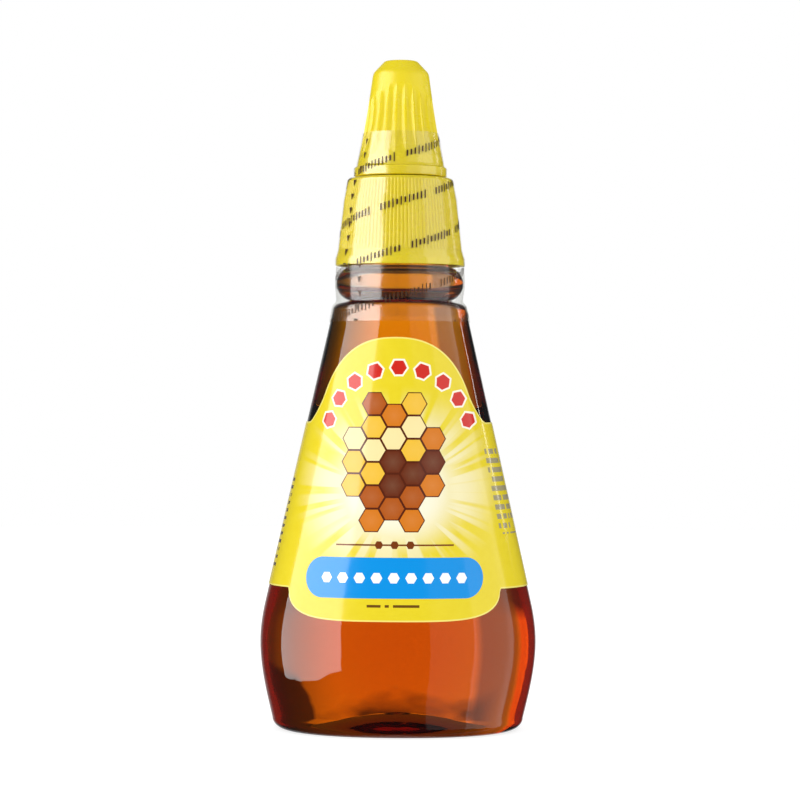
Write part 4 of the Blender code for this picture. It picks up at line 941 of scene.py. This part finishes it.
# Shrunk film is clear and glossy, with stretch lines round it that ripple what it mirrors. It mirrors
# more at a slant.
STRETCH_SPACING = 2.5
STRETCH_DEPTH = 0.25
STRETCH_SQUEEZE = (0.45, 0.45, 1.6)
film_print, tree = new_material("heat_shrunk_printed_film")
clear = add(tree, "BsdfTransparent", ["#FEFEFD"])
place = add(tree, "NewGeometry")
place = add(tree, "VectorMath", [place, STRETCH_SQUEEZE], "MULTIPLY")
_, rippled = uneven(tree, place, STRETCH_SPACING, 2.0, 0.35, STRETCH_DEPTH)
mirror = add(tree, "BsdfAnisotropic", {"Color": "#FFFFFF", "Roughness": 0.16, "Normal": rippled})
slant = add(tree, "LayerWeight", {"Normal": rippled})
steep = add(tree, "Math", [slant.outputs["Facing"], 5.0], "POWER")
shine = add(tree, "MapRange", [steep, 0.0, 1.0, 0.055, 0.22])
film_shader = add(tree, "MixShader", [shine, clear, mirror])

# Groups of dark strokes stand on rows that climb to the right round the sleeve. The strip at the
# back where the sleeve is welded bears none.
ROW_SPACING = 12.75
FIRST_ROW_HEIGHT = 118.2
ROW_SLOPE = math.tan(math.radians(16.5))
GROUP_SPACING = 15.9
GROUP_LENGTH = 13.4
FIRST_GROUP_START = -4.4
GROUP_SHIFT_A_ROW = 7.2
STROKE_SPACING = 1.12
STROKE_HALF_SIZES = ((0.26, 0.14), (0.7, 1.25))
SEAM_STRIP_FROM = math.radians(158)
sleeve = add(tree, "Attribute", attribute_name="sleeve_mm").outputs["Vector"]
run, height, turn = add(tree, "SeparateXYZ", [sleeve]).outputs
climb = add(tree, "Math", [run, -ROW_SLOPE, height], "MULTIPLY_ADD")
climb = add(tree, "Math", [climb, FIRST_ROW_HEIGHT], "SUBTRACT")
rows_up = add(tree, "Math", [climb, ROW_SPACING], "DIVIDE")
row_number = add(tree, "Math", [rows_up], "ROUND")
off_row = wrapped(tree, climb, ROW_SPACING)
shift = add(tree, "Math", [row_number, -GROUP_SHIFT_A_ROW, run], "MULTIPLY_ADD")
in_group = add(tree, "Math", [shift, FIRST_GROUP_START], "SUBTRACT")
in_group = add(tree, "Math", [in_group, GROUP_SPACING], "FLOORED_MODULO")
grouped = add(tree, "Math", [in_group, GROUP_LENGTH], "LESS_THAN")
stroke_number = add(tree, "Math", [in_group, STROKE_SPACING], "SNAP")
stroke_name = add(tree, "CombineXYZ", [stroke_number, row_number])
chance = add(tree, "TexWhiteNoise", [stroke_name])
half_size = [add(tree, "MapRange", [chance, 0.0, 1.0, *ends]) for ends in STROKE_HALF_SIZES]
off_stroke = wrapped(tree, in_group, STROKE_SPACING, STROKE_SPACING / 2)
stroke = in_box(tree, off_stroke, off_row, (0.0, 0.0), half_size)
stroke = add(tree, "Math", [stroke, grouped], "MULTIPLY")
clear_of_seam = add(tree, "Math", [turn, 0.0, SEAM_STRIP_FROM], "COMPARE")
stroke = add(tree, "Math", [stroke, clear_of_seam], "MULTIPLY")

# Small dark wedges that point down mark the perforation, down the left of the sleeve.
WEDGE_SPACING = 3.8
WEDGE_HEIGHT = 1.7
WEDGE_HALF_TURN = math.radians(2.25)
CAP_WEDGES_AT = math.radians(-58)
NECK_WEDGES_AT = math.radians(-38)
on_neck = add(tree, "Math", [height, CAP_FOOT], "LESS_THAN")
line_at = add(tree, "MapRange", [on_neck, 0.0, 1.0, CAP_WEDGES_AT, NECK_WEDGES_AT])
wedge_up = add(tree, "Math", [height, WEDGE_SPACING], "FLOORED_MODULO")
wedge_turn = add(tree, "Math", [wedge_up, WEDGE_HALF_TURN / WEDGE_HEIGHT], "MULTIPLY")
in_wedge = add(tree, "Math", [turn, line_at, wedge_turn], "COMPARE")
not_past = add(tree, "Math", [wedge_up, WEDGE_HEIGHT], "LESS_THAN")
wedge = add(tree, "Math", [in_wedge, not_past], "MULTIPLY")
printed = add(tree, "Math", [stroke, wedge], "MAXIMUM")
brown = add(tree, "BsdfPrincipled", {"Base Color": "#4A2E10", "Roughness": 0.35})
film_shader = add(tree, "MixShader", [printed, film_shader, brown])
add(tree, "OutputMaterial", [film_shader])
for band in bands:
    put_on(band, film_print)

# Studio
# A pale floor and a white background, a tall softbox to the left, a fainter panel to the right, and
# the camera level with the middle of the bottle. Grey flags beside the white background give the
# honey its dark edges.

CAMERA_DISTANCE = 0.770
CAMERA_HEIGHT = 0.090
CAMERA_SIDEWAYS = 0.0002
CAMERA_ROLL_DEG = -0.3
VIEW_WIDTH = 0.220
FLOOR_RADIUS = 1.2

# What stands round the bottle, by heading in degrees from straight behind towards +X. The honey sees
# the level and low stops: a bright left wall, the white background, dark flags and a dim room. Up
# from the horizon, more or less by heading, the dark top covers the background, and a red wall warms
# the left. The mirrored stops are what the gloss shows, and the last ones light the matt surfaces.
SEEN_LEVEL = [
    (-150, 0.6), (-125, 1.0), (-112, 1.9), (-88, 2.3), (-66, 2.3), (-58, 1.5), (-52, 1.5), (-45, 0.6),
    (-41, 0.5), (-22, 0.52), (-20, 1.1), (13, 1.1), (25, 0.68), (34, 0.45), (45, 0.26), (55, 0.12),
    (68, 0.12), (82, 0.45), (125, 0.5), (150, 0.6),
]
SEEN_LOW = [
    (-150, 0.6), (-125, 0.5), (-88, 0.45), (-76, 0.1), (-50, 0.14), (-30, 0.45), (-20, 1.0), (13, 1.0),
    (25, 0.45), (34, 0.25), (45, 0.12), (68, 0.08), (82, 0.4), (125, 0.5), (150, 0.6),
]
DARK_TOP = [(-34, 0.0), (-18, 1.0), (100, 1.0), (125, 0.0)]
DARK_TOP_LIFT = [
    (-24, 0.04), (-13, 0.036), (-4, 0.006), (0, 0.0), (5, 0.008), (12, 0.04), (24, 0.075), (30, 0.0),
]
RED_WALL = [(-125, 0.0), (-112, 1.0), (-52, 1.0), (-45, 0.0)]
RED_WALL_TINT = (1.0, 0.42, 0.3, 1.0)
SEEN_MIRRORED = [
    (-30, 0.05), (-12, 0.45), (12, 0.45), (20, 0.02), (35, 0.05), (60, 0.06), (76, 0.12), (84, 0.4),
    (92, 0.05),
]
LIGHT_ALL_ROUND = [(-120, 0.72), (-60, 1.0), (0, 1.0), (60, 1.1), (120, 1.0), (180, 0.72)]
LEVEL_TO_LOW = np.sin(np.radians((-12.0, -17.0)))
DIM_UNDER = np.sin(np.radians((-22.0, -45.0)))
DIM_OVER = np.sin(np.radians((2.8, 4.8)))
DARK_UNDER = 0.1
DARK_OVER = 0.16
scene = bpy.context.scene


def by_heading(tree, direction, stops):
    """A brightness for each heading, from stops of (degrees, brightness)."""
    x, y, _ = add(tree, "SeparateXYZ", [direction]).outputs
    heading = add(tree, "Math", [x, y], "ARCTAN2")
    ramp = add(tree, "ValToRGB", [add(tree, "MapRange", [heading, -math.pi, math.pi])])
    fill_ramp(ramp, [((degrees + 180) / 360, (bright,) * 3 + (1.0,)) for degrees, bright in stops])
    return ramp


def softbox(name, azimuth_deg, distance, width, height, centre_height, radiance, lights_matt, mirrored):
    """A flat lamp that faces the bottle. Its azimuth is from the front, -Y, towards +X."""
    lamp = bpy.data.lights.new(name, "AREA")
    lamp.shape = "RECTANGLE"
    lamp.size = width
    lamp.size_y = height
    lamp.energy = radiance * math.pi * width * height
    light = bpy.data.objects.new(name, lamp)
    azimuth = math.radians(azimuth_deg)
    light.location = (distance * math.sin(azimuth), -distance * math.cos(azimuth), centre_height)
    light.rotation_euler = (math.radians(90), 0, azimuth)
    light.visible_camera = light.visible_transmission = False
    light.visible_diffuse = lights_matt
    light.visible_glossy = mirrored
    scene.collection.objects.link(light)


softbox("left_softbox", -66.5, 0.60, 0.77, 1.00, 0.32, 3.6, False, True)
softbox("left_fill", -50, 0.80, 0.8, 0.9, 0.35, 1.3, True, False)
softbox("right_panel", 74, 0.80, 0.72, 1.2, 0.12, 0.85, False, True)
softbox("right_panel_edge", 34, 0.80, 0.50, 1.2, 0.12, 0.28, False, True)
softbox("right_strip", 122, 0.80, 0.04, 0.9, 0.62, 3.2, False, True)

world = bpy.data.worlds.new("studio")
scene.world = world
world.use_nodes = True
tree = world.node_tree
tree.nodes.clear()
direction = add(tree, "TexCoord").outputs["Generated"]
tables = (SEEN_LEVEL, SEEN_LOW, DARK_TOP, DARK_TOP_LIFT, RED_WALL, SEEN_MIRRORED, LIGHT_ALL_ROUND)
ramps = [by_heading(tree, direction, stops) for stops in tables]
level, low, dark_top, lift, red_wall, mirrored, ambient = ramps
tilt = add(tree, "SeparateXYZ", [direction]).outputs["Z"]
is_low = add(tree, "MapRange", [tilt, *LEVEL_TO_LOW])
through = add(tree, "MixRGB", [is_low, level, low])
over_horizon = add(tree, "Math", [tilt, lift], "SUBTRACT")
under = add(tree, "MapRange", [tilt, *DIM_UNDER, 1.0, DARK_UNDER])
over = add(tree, "MapRange", [over_horizon, *DIM_OVER, 1.0, DARK_OVER])
for share, dimmed in ((1.0, under), (dark_top, over), (red_wall, RED_WALL_TINT)):
    through = add(tree, "MixRGB", [share, through, dimmed], blend_type="MULTIPLY")

# Rays that pass the bottle's slightly rough wall count as mirrored too, so what they see is mixed
# over what the gloss mirrors.
ray_kind = add(tree, "LightPath")
strength = ambient
seen = {"Glossy": mirrored, "Transmission": through, "Camera": "#FFFFFF"}
for kind, colour in seen.items():
    strength = add(tree, "MixRGB", [ray_kind.outputs[f"Is {kind} Ray"], strength, colour])
sky = add(tree, "Background", [strength])
add(tree, "OutputWorld", [sky])

# The floor is white but for the shadow under the bottle. Mirrors and the honey look past it, into
# the room.
PAINT_PATCH = 25.0
bpy.ops.mesh.primitive_circle_add(vertices=96, radius=FLOOR_RADIUS, fill_type="NGON")
floor = bpy.context.object
floor.name = "studio_floor"
floor.visible_glossy = floor.visible_transmission = False
pale, tree = new_material("pale_painted_floor")
place = add(tree, "NewGeometry")
grain = add(tree, "TexNoise", {"Vector": place, "Scale": 1 / (PAINT_PATCH * MM), "Detail": 2.0})
paint = add(tree, "MixRGB", [grain, "#A6A6A6", "#AAAAAA"])
bright = add(tree, "Emission", ["#E6E6E6"])
matt = add(tree, "BsdfDiffuse", [paint])
surface = add(tree, "AddShader", [matt, bright])
add(tree, "OutputMaterial", [surface])
put_on(floor, pale)

camera_data = bpy.data.cameras.new("front_camera")
camera = bpy.data.objects.new("front_camera", camera_data)
camera_data.lens = camera_data.sensor_width * CAMERA_DISTANCE / VIEW_WIDTH
camera.location = (CAMERA_SIDEWAYS, -CAMERA_DISTANCE, CAMERA_HEIGHT)
camera.rotation_euler = (math.radians(90), math.radians(CAMERA_ROLL_DEG), 0)
scene.collection.objects.link(camera)
scene.camera = camera
scene.view_settings.view_transform = "Standard"
scene.cycles.use_denoising = True
scene.cycles.max_bounces = 32
scene.cycles.transmission_bounces = 24
scene.cycles.transparent_max_bounces = 24
